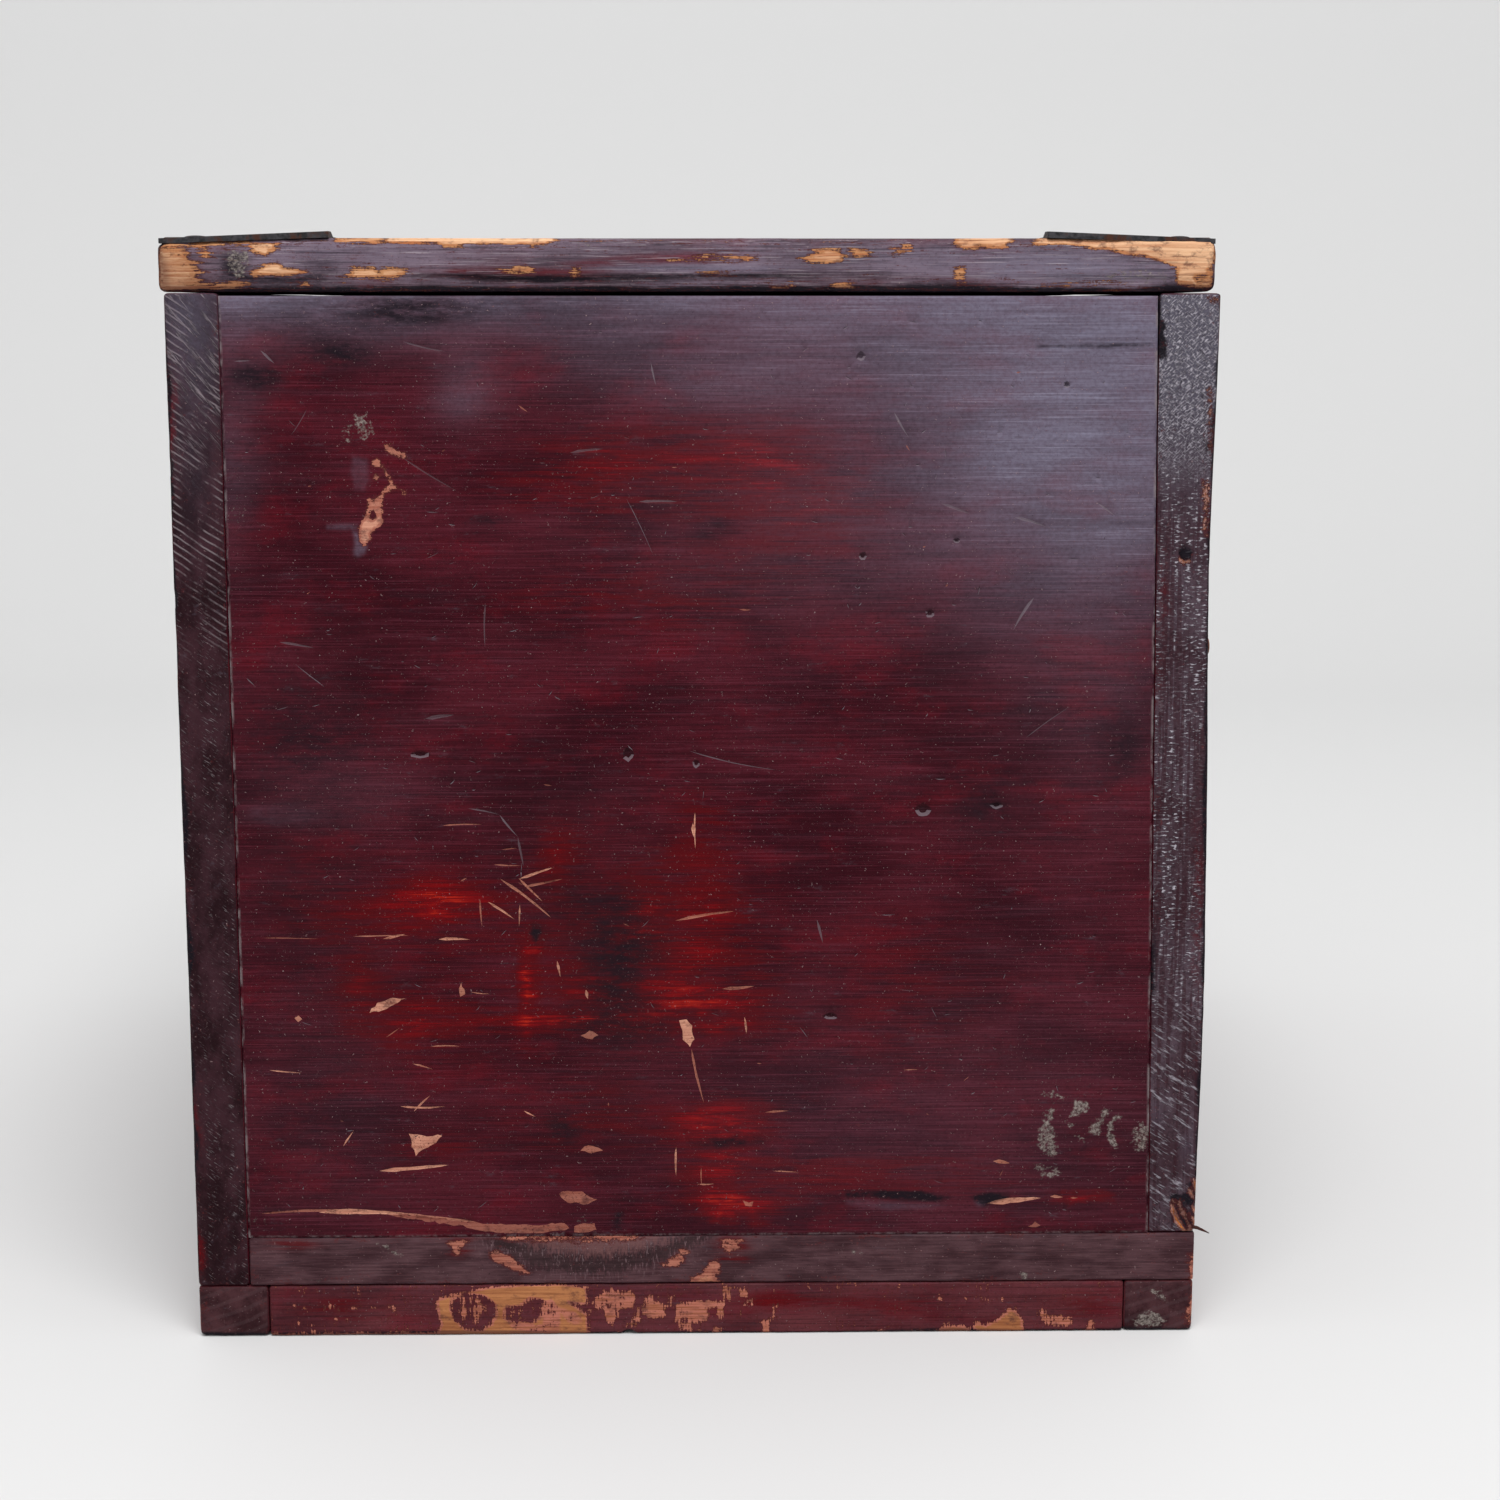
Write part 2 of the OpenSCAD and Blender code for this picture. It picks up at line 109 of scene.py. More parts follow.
def maths(tree, operation, a, b):
    return add_node(tree, "ShaderNodeMath", {0: a, 1: b}, operation=operation).outputs[0]


def step(tree, value, low, high, start=0.0, end=1.0):
    """A soft step from start to end as the value goes from low to high."""
    inputs = {"Value": value, "From Min": low, "From Max": high, "To Min": start, "To Max": end}
    return add_node(tree, "ShaderNodeMapRange", inputs, interpolation_type="SMOOTHSTEP").outputs["Result"]


def painted(tree, name):
    return add_node(tree, "ShaderNodeAttribute", attribute_name=name).outputs["Fac"]


def ruled(tree, size, turn=(0, 0, 0), centre=(0, 0, 0)):
    """Places on the piece, counted in steps of the given size in millimetres from a centre."""
    vector = add_node(tree, "ShaderNodeTexCoord").outputs["Object"]
    moves = ({"Location": [-c * MM for c in centre]}, {"Rotation": turn},
             {"Scale": [1 / (MM * s) for s in size]})
    for inputs in moves:
        vector = add_node(tree, "ShaderNodeMapping", {"Vector": vector, **inputs}).outputs[0]
    return vector


def grain(tree, size, turn=(0, 0, 0), detail=5, rough=0.6):
    """Noise with features of the given size in millimetres along X, Y and Z."""
    inputs = {"Vector": ruled(tree, size, turn), "Scale": 1, "Detail": detail, "Roughness": rough}
    return add_node(tree, "ShaderNodeTexNoise", inputs).outputs["Fac"]


def new_finish(name):
    """An empty finish: its material, its node tree and its shader."""
    material = bpy.data.materials.new(name)
    material.use_nodes = True
    tree = material.node_tree
    return material, tree, tree.nodes["Principled BSDF"]


def lay_along(axis, length, width):
    """Feature sizes that are long on one axis and narrow on the others."""
    return [length if i == axis else width for i in range(3)]


def bare_wood(tree, axis, pale, dark):
    """Wood without lacquer, with its fibres along one axis: colour and height."""
    fibres = grain(tree, lay_along(axis, 22, 0.6), detail=6, rough=0.7)
    rings = grain(tree, lay_along(axis, 90, 5), detail=2)
    share = maths(tree, "ADD", step(tree, fibres, 0.38, 0.68, 0, 0.6), step(tree, rings, 0.4, 0.65, 0, 0.4))
    colour = mix(tree, share, tone(pale), tone(dark))
    checks = grain(tree, lay_along(axis, 14, 0.8), detail=3, rough=0.6)
    return mix(tree, step(tree, checks, 0.6, 0.7, 0, 0.5), colour, tone("#5a3020")), fibres


DULL_SHINE = 0.05


def dress(tree, shader, colour, roughness, height, strength, depth):
    """Joins colour, roughness and a bump of the given depth in millimetres to a shader."""
    inputs = {"Height": height, "Strength": strength, "Distance": depth * MM}
    bump = add_node(tree, "ShaderNodeBump", inputs)
    tree.links.new(colour, shader.inputs["Base Color"])
    tree.links.new(roughness, shader.inputs["Roughness"])
    tree.links.new(bump.outputs[0], shader.inputs["Normal"])


def lacquer(name, axis, deep="#380c16", red="#4e1722", dusk="#2f1a22", crimson="#640d1a", ends=None,
            salmon="#b0705f", pale="#cf8f70", dark="#7e4136", hatch=False, streak=(24, 2.2), streaks=0.36,
            hair="#6f3443", scratched=0.0, relief=(0.5, 0.3), tear=(6, 1.7), tears=0.26):
    """Brushed lacquer over wood: painted layers tell where it is worn, greyed by bloom and a painted sheen,
    red, or darkened by grime and painted shade.
    """
    material, tree, shader = new_finish(name)
    hairs = grain(tree, lay_along(axis, 24, 0.34), detail=4, rough=0.62)
    strokes = grain(tree, lay_along(axis, *streak), detail=4, rough=0.62)
    flush = grain(tree, lay_along(axis, 30, 13), detail=5, rough=0.64)
    clouds = grain(tree, lay_along(axis, 46, 24), detail=5, rough=0.6)
    grit = grain(tree, (0.55, 0.55, 0.55), detail=3, rough=0.7)
    flecks = grain(tree, (1.3, 1.3, 1.0), detail=4, rough=0.65)
    colour = mix(tree, step(tree, clouds, 0.36, 0.64), tone(deep), tone(red))
    colour = mix(tree, step(tree, flush, 0.5, 0.68, 0, 0.5), colour, tone(crimson))
    colour = mix(tree, step(tree, strokes, 0.5, 0.68, 0, streaks), colour, tone(dusk))
    colour = mix(tree, step(tree, hairs, 0.5, 0.66, 0, 0.42), colour, tone("#1f070d"))
    colour = mix(tree, step(tree, hairs, 0.48, 0.34, 0, 0.26), colour, tone(hair))
    colour = mix(tree, step(tree, flecks, 0.5, 0.68, 0, 0.3), colour, tone("#1d0910"))
    height = maths(tree, "ADD", maths(tree, "MULTIPLY", hairs, 0.4), maths(tree, "MULTIPLY", grit, 0.3))
    if ends:
        end_colour, end_height = ends(tree)
        on_end = painted(tree, "end")
        colour = mix(tree, on_end, colour, end_colour)
        height = add_node(tree, "ShaderNodeMix", {0: on_end, 2: height, 3: end_height}).outputs[0]

    # Red ground showing through thin lacquer
    patches = grain(tree, lay_along(axis, 16, 2.2), detail=6, rough=0.66)
    glow = maths(tree, "MULTIPLY", painted(tree, "glow"), step(tree, patches, 0.36, 0.62, 0.4, 1.3))
    glow = maths(tree, "MULTIPLY", glow, step(tree, hairs, 0.42, 0.62, 1, 0.5))
    colour = mix(tree, step(tree, glow, 0.03, 0.4, 0, 0.85), colour, tone("#55060c"))
    colour = mix(tree, step(tree, glow, 0.42, 0.85), colour, tone("#74060c"))
    colour = mix(tree, step(tree, glow, 0.9, 1.45), colour, tone("#ab2414"))
    # Greyed bloom on lacquer that has gone dull, together with a painted sheen of reflected light, painted
    # glints along the hairs, and scuffs
    bloom_and_sheen = step(tree, painted(tree, "bloom_and_sheen"), 0, 1.2, 0, 0.88)
    for texture, thinned in ((hairs, 0.82), (strokes, 0.86), (flush, 0.82), (flecks, 0.8)):
        bloom_and_sheen = maths(tree, "MULTIPLY", bloom_and_sheen, step(tree, texture, 0.36, 0.64, 1.06, thinned))
    colour = mix(tree, bloom_and_sheen, colour, tone("#767184"))
    scuffs = grain(tree, lay_along(axis, 9, 2.6), detail=7, rough=0.76)
    glints = maths(tree, "MULTIPLY", step(tree, bloom_and_sheen, 0.15, 0.8, 0, 0.26), step(tree, hairs, 0.42, 0.3))
    colour = mix(tree, glints, colour, tone("#a3a1b4"))
    scuffed = step(tree, glow, 0.05, 0.5, 1, 0.15)
    scuffed = maths(tree, "MULTIPLY", step(tree, scuffs, 0.57, 0.73, 0, 0.5), scuffed)
    colour = mix(tree, scuffed, colour, tone("#4d444d"))
    if scratched:
        lines = grain(tree, lay_along(axis, 16, 0.3), detail=2)
        colour = mix(tree, step(tree, lines, 0.6, 0.68, 0, scratched), colour, tone("#b3a7ae"))
    # Places darkened by soot and hands, and painted shade: a contact shadow at the foot, shadow lines along
    # arrises, and shade inside holes, splits and under the top board's edge
    grime_and_shade = maths(tree, "MULTIPLY", painted(tree, "grime_and_shade"), step(tree, scuffs, 0.34, 0.6, 0.55, 1.1))
    colour = mix(tree, step(tree, grime_and_shade, 0.05, 0.95, 0, 0.95), colour, tone("#17131a"))
    # Pin-head specks of dust, a pale rim along the joints and crusts of dried paste
    dust = maths(tree, "MULTIPLY", step(tree, grit, 0.64, 0.7), step(tree, flecks, 0.46, 0.62, 0.05, 0.75))
    colour = mix(tree, dust, colour, tone("#a98f90"))
    colour = mix(tree, step(tree, grit, 0.34, 0.29, 0, 0.65), colour, tone("#15060a"))
    broken = grain(tree, (3, 3, 7), detail=6, rough=0.7)
    rim = maths(tree, "MULTIPLY", painted(tree, "rim"), step(tree, broken, 0.42, 0.62, 0, 0.9))
    colour = mix(tree, rim, colour, tone("#94888a"))
    # The same layer also carries a painted glint on the rear top board's rippled grain
    paste = mix(tree, step(tree, grit, 0.36, 0.64), tone("#4b4340"), tone("#9c938c"))
    crust_and_glint = maths(tree, "ADD", painted(tree, "crust_and_glint"), step(tree, flecks, 0.3, 0.7, -0.35, 0.35))
    colour = mix(tree, step(tree, crust_and_glint, 0.34, 0.8, 0, 0.75), colour, paste)

    # Bare wood on worn arrises and in chips: first the red ground, then a dark broken edge, then the wood
    ragged = step(tree, grain(tree, lay_along(axis, *tear), detail=6, rough=0.7), 0.3, 0.7, -tears, tears)
    worn = maths(tree, "ADD", painted(tree, "worn"), ragged)
    worn = maths(tree, "ADD", worn, step(tree, grit, 0.3, 0.7, -0.16, 0.16))
    if hatch:
        nicks = grain(tree, (0.55, 0.55, 5), detail=2)
        worn = maths(tree, "ADD", worn, step(tree, nicks, 0.36, 0.64, -0.26, 0.26))
    chipped = painted(tree, "scar")
    scar = maths(tree, "MULTIPLY", chipped, step(tree, grit, 0.3, 0.42))
    scar = maths(tree, "MAXIMUM", step(tree, worn, 0.54, 0.68), scar)
    wood, fibres = bare_wood(tree, axis, pale, dark)
    pink = mix(tree, step(tree, fibres, 0.4, 0.66), tone(salmon), tone(dark))
    bared = maths(tree, "ADD", painted(tree, "worn"), maths(tree, "MULTIPLY", ragged, 0.25))
    bared = maths(tree, "MAXIMUM", bared, maths(tree, "MULTIPLY", chipped, 1.3))
    wood = mix(tree, step(tree, bared, 0.94, 1.14), pink, wood)
    # Grime on the bare wood, darkened further where painted shade lies
    wood_grime_and_shade = step(tree, grain(tree, (4, 4, 2.4), detail=7, rough=0.72), 0.5, 0.68, 0, 0.7)
    wood_grime_and_shade = maths(tree, "MAXIMUM", wood_grime_and_shade, step(tree, painted(tree, "grime_and_shade"), 0.2, 1, 0, 0.7))
    wood = mix(tree, wood_grime_and_shade, wood, tone("#523230"))
    colour = mix(tree, step(tree, worn, 0.26, 0.5, 0, 0.65), colour, tone("#5e2628"))
    colour = mix(tree, step(tree, worn, 0.42, 0.54, 0, 0.65), colour, tone("#27100f"))
    colour = mix(tree, scar, colour, wood)
    # Dents: the lower slope catches the light and the upper one lies in the dark
    slopes = mix(tree, painted(tree, "lit"), tone("#150e12"), tone("#857a82"))
    colour = mix(tree, maths(tree, "MULTIPLY", painted(tree, "dent"), 0.9), colour, slopes)

    height = maths(tree, "ADD", height, maths(tree, "MULTIPLY", scar, -0.6))
    roughness = step(tree, hairs, 0.3, 0.7, 0.3, 0.5)
    roughness = maths(tree, "ADD", roughness, maths(tree, "MULTIPLY", scar, 0.3))
    shader.inputs["Specular IOR Level"].default_value = DULL_SHINE
    dress(tree, shader, colour, roughness, height, *relief)
    return material


panel_low, panel_high = span("back_panel")
PANEL_PITCH = 2.6
CLOSE_PITCH = 0.8
# Where small painted marks need closer points: lowest and highest x, then z
CLOSE_ZONES = [
    (38, 72, 33, 42), (73, 93, 33, 42), (-98, -74, 208, 252), (89, 121, 42, 70), (82, 120, 257, 268),
]
PANEL_ARRIS = 0.4
PATCH_EDGE = 1.3
SMALL_MARKS = 220
# The right edge of the panel leans: it is cut shorter at the top than at the foot
PANEL_LEAN_TOP, PANEL_LEAN_FOOT = -2.3, 1.2


def lean(z):
    share = (z - panel_low[2]) / (panel_high[2] - panel_low[2])
    return PANEL_LEAN_FOOT + (PANEL_LEAN_TOP - PANEL_LEAN_FOOT) * min(max(share, 0), 1)


# Scratches through to the wood: x and z of both ends, then the width
BARE_SCRATCHES = [
    (-51.7, 126.8, -38.4, 116.2, 1.1), (-46.5, 126.8, -37.7, 129.7, 1),
    (-45.4, 124.6, -35.1, 126.7, 0.9), (-46.8, 127, -40.5, 120.5, 0.8), (-55, 120.6, -48, 115.7, 0.9),
    (-57.1, 121.4, -56.7, 113.8, 0.6), (-46.6, 119.8, -46.9, 113.8, 0.6),
    (-53.3, 130.6, -46.1, 130.3, 0.5), (-51.2, 134.6, -47, 135, 0.4), (-66.7, 141.1, -56.2, 141.4, 0.5),
    (-90.8, 111.3, -76, 111.5, 0.5), (-83, 110.6, -77, 111.9, 1), (-68.4, 110.4, -59.9, 110.3, 1),
    (-82.8, 83.7, -79, 86.4, 0.5), (-71.1, 81.1, -63.1, 81.1, 0.6), (-76, 76.4, -70.5, 74.8, 0.7),
    (-79.5, 64.6, -67.5, 64.5, 0.9), (-76, 63.1, -71.4, 67.6, 0.8), (-46.6, 63.2, -43.5, 61.5, 0.6),
    (-6, 52.9, -6.1, 44.8, 0.8), (0, 144.6, 0, 134.6, 0.6), (-0.6, 141.5, -0.2, 137.5, 1.4),
    (-5.6, 115.2, 10.3, 117.8, 1), (6.7, 96.6, 15.3, 97.3, 1.2), (12.6, 88.9, 13.1, 84.2, 0.9),
    (-1.6, 80.1, 1.6, 65.1, 0.9), (17.9, 62.4, 24.4, 62.8, 0.8), (0.7, 47.3, 0.7, 42.2, 0.5),
    (-0.5, 42.4, 4.2, 42.5, 0.6), (79.1, 48.4, 83.7, 47.8, 1.7), (-85.5, 46.6, -67, 48.2, 1.5),
    (-114, 74.8, -105.5, 74, 0.5), (-95, 53.5, -92, 58, 0.6), (-115, 111, -100, 110.7, 0.3),
    (-37, 104.5, -36.2, 100, 0.9), (-29.5, 96.5, -29, 94, 1.4), (77.6, 36.6, 92, 38, 2.2),
    (94.5, 38.4, 98, 38.2, 1.2), (100, 38, 102, 38, 0.7), (20, 46, 27, 45.6, 0.4),
    (-90, 35.2, -117.5, 34.8, 1.2), (-102, 35.1, -74, 33.8, 1.9), (-84, 34.5, -60, 32.2, 1.9),
    (55, 74, 59, 74.1, 0.4), (-60, 96, -55, 95.5, 0.4),
]
# Dry scratches and bruises that only grey the lacquer
GREY_SCRATCHES = [
    (-110.6, 264.8, -107.1, 261.5, 0.9), (-10.2, 261.9, -8.9, 255.8, 0.7),
    (52.7, 249, 56.6, 242.4, 0.7), (64.8, 225.6, 72.6, 222.8, 1), (84, 222, 92.6, 219.4, 1),
    (105.4, 225.8, 110.2, 222.4, 0.8), (89.3, 201.1, 83.9, 192.5, 1), (87.2, 164, 98.9, 172.4, 0.4),
    (-59.8, 145.7, -51.5, 144, 0.5), (-51.5, 144, -46.8, 138.1, 0.7), (-46.8, 138.1, -45.4, 130, 0.8),
    (-73.9, 267, -63, 264.5, 0.6), (-74.8, 237.6, -61.1, 229.1, 0.5), (-54.1, 200, -54.4, 188.3, 0.6),
    (-1.5, 160.9, 21.6, 155.7, 0.4), (-31.4, 238.7, -22.7, 239.7, 0.9), (-13.8, 226.1, -3.7, 226.1, 1),
    (-117.5, 262, -113, 262.2, 0.5), (-70.5, 169.6, -62.8, 170.6, 1.4),
    (-108, 189.8, -98.8, 188.2, 0.8), (-96.5, 178, -104, 184, 0.3), (-99, 250, -103.5, 243, 0.3),
    (32, 115.5, 33.6, 109, 1), (-17, 227, -10, 212, 0.3),
]
# Dents pressed into the face: x, z, half length, half height
DENTS = [
    (-72.1, 160.1, 2.6, 1.1), (-17.4, 159.9, 1.6, 1.8), (60.1, 144.8, 2.2, 1.9), (79.6, 146.1, 1.7, 1),
    (35.5, 89, 2.1, 1), (44.1, 263.3, 1.3, 1.3), (0.4, 157.5, 1, 1.2), (44.5, 212, 1, 1.2),
    (69, 216, 1, 0.8), (62, 197, 1.3, 1.2), (97.5, 256, 0.9, 0.9),
]
# Chips that lost their lacquer: how bare each one is, then its corners
CHIPS = [
    [0.95, (-87.2, 90.6), (-84.8, 93.2), (-80.5, 94.5), (-77.6, 94.6), (-80.5, 92.6), (-83.4, 91)],
    [0.95, (-77.4, 57.2), (-72.6, 56.4), (-68.5, 56.6), (-71.4, 53.6), (-75.9, 50.9)],
    [0.75, (-31.8, 52.2), (-29.3, 53.6), (-27.3, 53.2), (-25.7, 51.8), (-28.6, 51.2)],
    [0.7, (-37.6, 39.8), (-35.2, 40.8), (-31.2, 40.4), (-27.4, 38), (-30.8, 37), (-35.2, 37.6)],
    [0.75, (-30.9, 83.9), (-28.8, 85.3), (-26.2, 84.2), (-28.2, 82.7)],
    [1, (-4.5, 87.9), (-2.9, 88.4), (-1.6, 86.4), (-0.7, 83), (-1.7, 80.6), (-3.7, 82.6)],
    [0.7, (12, 37.6), (13.2, 37), (14.9, 37.3), (14, 36.1), (12.3, 36.3)],
    [0.55, (-82, 34.6), (-71.3, 33.6), (-62.5, 31.9), (-62, 31), (-66, 31.2), (-72, 32.4), (-82, 33.6)],
    [0.65, (-63.5, 32.2), (-52, 31.4), (-46, 31.2), (-36, 31.6), (-34.8, 30), (-42, 28.9), (-52, 28.8),
     (-58.6, 29.6), (-63.5, 31)],
    [0.7, (-33.4, 31), (-31, 31.8), (-28.4, 31.4), (-27.4, 29.8), (-31, 28.9), (-33.6, 29.4)],
    [0.8, (-106.9, 88.9), (-106, 89.8), (-105, 88.8), (-105.8, 87.9)],
    [0.5, (88.6, 29.8), (90.4, 31.2), (92, 30.4), (90.6, 29.5)],
    [0.8, (-63.4, 96.8), (-62.4, 98.6), (-61.6, 95.6), (-62.8, 94.8)],
]
# Soft spots: x, z, half width, half height and strength
PANEL_CRUST = [
    (-116, 33, 3, 2, 0.35), (-73, 53, 4, 1.4, 0.3), (-32, 31, 2, 3, 0.3), (96, 47, 4, 1.2, 0.35),
    (116, 190, 2, 30, 0.2), (-116, 225, 2, 4, 0.4),
]
CRUST_BLOTS = [
    [0.55, (-87.7, 248.9), (-84.1, 248.6), (-82.9, 246.1), (-81.9, 244.3), (-83.3, 242.8), (-84.8, 241),
     (-86.1, 243), (-87.6, 245.1)],
    [0.4, (-89.8, 247.1), (-87.8, 246.1), (-87.7, 241), (-89.7, 240), (-90.7, 243)],
    [0.65, (93.4, 61.9), (94.9, 63.3), (96.3, 64.6), (96.3, 62.1), (95.3, 59.3), (96.7, 55.7),
     (97.6, 51.5), (95.8, 48.7), (92.5, 51.2), (91.3, 54.3), (91.6, 57.1), (92.9, 58.8)],
    [0.8, (101.4, 66), (103.5, 65.2), (105.7, 64.3), (105.5, 62.1), (103.6, 61.8), (102.3, 60.4),
     (100.1, 61), (101.1, 63.2)],
    [0.85, (105.1, 56.8), (106.4, 58.7), (108.2, 60.4), (109.2, 62.9), (111.1, 62.9), (110.1, 59.8),
     (108.5, 58.2), (108.8, 55.9), (106.7, 55.4)],
    [0.9, (110.5, 56.8), (110.9, 59.3), (113.6, 61.5), (114.7, 60.6), (112.3, 58.7), (111.8, 55.9),
     (112.7, 54.5), (113.8, 52.3), (112.2, 51.7), (110.5, 54.5)],
    [0.6, (117.2, 56.7), (119.3, 59.5), (121.8, 58.1), (122.9, 55.6), (122.4, 52.2), (119.5, 50.5),
     (117.3, 52.5)],
    [0.5, (91.9, 67.7), (95.4, 68.3), (99.5, 66.3), (99, 64.9), (95.4, 66), (92.5, 66.3)],
    [0.6, (92.3, 45.6), (95.3, 45.3), (98.5, 45), (96.7, 43.6), (93.1, 43.9)],
    [0.5, (90.9, 47.9), (94.7, 47), (93.4, 45.6), (90.9, 46.2)],
    [0.6, (99.1, 59.6), (101.8, 58.8), (100.5, 57.1), (98.8, 57.7)],
    [0.55, (101.6, 55.7), (104.5, 55.1), (104.3, 53.4), (102.1, 54)],
]
# A torn flake of lacquer, high on the left
TORN_FLAKE = [
    [1, (-84.4, 227.4), (-83.1, 226.9), (-81, 227.7), (-80, 229.5), (-77.9, 230.8), (-76.9, 229.7),
     (-79, 229.2), (-79.5, 228.2), (-80.3, 225.9), (-80.4, 223.3), (-80.7, 221), (-82, 219.7),
     (-83.6, 218.4), (-84.1, 216.3), (-85.5, 215), (-86.5, 216.3), (-86.6, 218.9), (-86.1, 220.7),
     (-85, 222.5), (-84.4, 225.1)],
    [1.15, (-86.1, 220.5), (-84.5, 221.5), (-83, 220.5), (-81.2, 222.3), (-80.7, 221), (-82, 219.7),
     (-83.6, 218.4), (-84.1, 216.3), (-85.5, 215), (-86.5, 216.3), (-86.6, 218.9)],
    [0.1, (-83.7, 223.6), (-82.4, 223.8), (-82.2, 222.3), (-83, 221.5), (-83.7, 222)],
    [0.95, (-80, 241.3), (-78.2, 241), (-76.4, 239.5), (-74.1, 238.2), (-74.4, 237.2), (-76.7, 237.7),
     (-78.7, 238.7), (-80, 240)],
    [0.9, (-83.1, 236.4), (-82.1, 237.4), (-80.8, 236.9), (-80.1, 235.9), (-81.4, 235.1), (-82.9, 235.6)],
    [0.9, (-82.7, 233.3), (-81.7, 233.8), (-80.9, 232.8), (-81.7, 231.5), (-82.7, 231.8)],
    [0.85, (-80.4, 235.1), (-78.8, 233.8), (-77.9, 231.8), (-76.4, 230.2), (-74.1, 228.7),
     (-74.6, 227.9), (-76.9, 229.5), (-78.7, 231), (-79.4, 233.3), (-80.6, 234.6)],
]
GREY_STROKES = [
    [0.5, (-88.2, 218.9), (-86.9, 218.4), (-86.2, 215.6), (-84.4, 214.8), (-85.3, 212.7),
     (-87.1, 211.9), (-88.6, 212.5), (-88, 215.1)],
    [0.45, (-95.1, 220.2), (-90.2, 220.7), (-86.9, 220.5), (-86.9, 219.2), (-90.3, 218.9),
     (-95.1, 219.2)],
    [0.3, (-88, 238.2), (-83.9, 237.4), (-83.5, 231.8), (-85.1, 228.7), (-87.7, 229.2), (-88.6, 234.4)],
    [0.5, (90.1, 269.4), (103.9, 269.9), (118.8, 269.4), (118.9, 267.3), (104, 267.9), (90.1, 268.1)],
    [0.22, (39.9, 38.1), (46.7, 37.7), (56.2, 36.8), (67, 36.2), (62.4, 35.4), (52.1, 34.9),
     (43.5, 35.8), (40.5, 36.6)],
    [0.35, (75.1, 37.3), (77.8, 37.8), (77.8, 35.9), (75.7, 35.9)],
]
DARK_STROKES = [
    [0.7, (87.6, 266.3), (104, 266.6), (116.8, 266.8), (118.7, 265.6), (104, 265.1), (87.6, 265.3)],
    [1, (39.9, 40.3), (49.4, 40.5), (60.2, 40.2), (69.1, 38.5), (65.6, 37.1), (54.8, 37.7),
     (44.5, 38.6), (40.2, 38.3)],
    [1, (74.3, 38.7), (79.7, 39.8), (84.6, 38.9), (84, 37.8), (77.6, 35.6), (74.8, 37)],
]
# Greyed bloom on the panel, with a painted sheen of reflected light over its upper right
PANEL_BLOOM_AND_SHEEN = [
    (118, 268, 66, 40, 0.95), (100, 238, 46, 31, 0.42), (10, 284, 150, 15, 0.85),
    (-100, 280, 40, 13, 0.5), (-60, 254, 9, 9, 0.35), (-112, 145, 10, 1.8, 0.3),
    (-118, 240, 10, 34, 0.3), (60, 205, 60, 30, 0.14), (10, 222, 60, 30, 0.18), (8, 258, 52, 12, 0.36),
    (105, 190, 30, 60, 0.25), (60, 60, 90, 50, 0.2), (-100, 60, 34, 40, 0.14), (-90, 150, 34, 14, 0.2),
]
PANEL_GLOW = [
    (24, 227, 18, 14, 0.44), (8, 236, 30, 8, 0.2), (-66, 121, 12, 4.5, 1.15), (-84, 116, 16, 4, 0.45),
    (-76, 88, 13, 6, 0.55), (-90, 98, 5, 8, 0.45), (-15, 116, 5, 9, 0.65), (-30, 87.5, 22, 1.5, 1.3),
    (-43.5, 98, 1.9, 12, 1.35), (-30, 98, 7, 5, 0.5), (2, 112, 12, 14, 0.4), (-2, 96, 16, 5, 0.55),
    (6, 86, 14, 1.6, 0.75), (4, 91.5, 15, 1.5, 0.8), (7, 60, 12, 4.5, 1.15), (7, 49, 9, 5, 0.85),
    (9, 37.5, 11, 1.9, 1.2), (9, 32.8, 9, 1.2, 1), (18, 44, 30, 5, 0.35), (-26, 60, 26, 8, 0.3),
    (55, 44, 40, 7, 0.3), (104, 38, 9, 1.5, 0.8), (-40, 232, 22, 9, 0.2), (-22, 232, 8, 10, 0.22),
    (-20, 200, 34, 8, 0.25), (-70, 52, 14, 6, 0.3), (60, 95, 26, 26, 0.2), (-36, 134, 5, 8, 0.45),
    (0, 138, 9, 12, 0.35), (-22, 104, 56, 34, 0.3), (-96, 120, 34, 60, 0.12), (10, 222, 60, 32, 0.16),
    (-6, 238, 30, 9, 0.2),
]
PANEL_GLOOM = [
    (-23.1, 31.9, 1.6, 3.2, 0.9), (-43, 111.6, 1.6, 3, 1), (-113, 259, 7, 3.4, 1),
    (-91, 265, 9, 3, 0.6), (-71, 274, 16, 4, 0.65), (75, 146, 12, 13, 0.6), (112, 160, 9, 13, 0.6),
    (-39, 277, 40, 6, 0.4), (-52, 221, 8, 2.2, 0.7), (-100, 272, 22, 10, 0.4), (5, 218, 9, 5, 0.5),
    (-30, 150, 22, 14, 0.35), (-20, 104, 15, 22, 0.75), (-36, 58, 8, 5, 0.6), (-20, 64, 16, 10, 0.35),
    (10, 55.5, 12, 1.6, 0.9), (-60, 190, 40, 22, 0.15), (-100, 110, 26, 90, 0.4), (-10, 84, 40, 8, 0.3),
    (-40, 122, 20, 10, 0.3), (28, 172, 26, 24, 0.22), (-104, 165, 26, 16, 0.3), (2, 34, 10, 1, 0.6),
]
SCAR, DENT, SCUFF = "scar", "dent", "scuff"


def spots_at(p, spots, drift=5.0):
    """Strength of the soft spots at a point, with edges that wander like brushwork."""
    x = p[0] + drift * noise.noise(Vector((p[0] * 0.03, 1.5, p[2] * 0.09)))
    z = p[2] + 0.5 * drift * noise.noise(Vector((p[0] * 0.03, 7.5, p[2] * 0.09)))
    return sum(s * math.exp(-((x - cx) / w) ** 2 - ((z - cz) / h) ** 2) for cx, cz, w, h, s in spots)


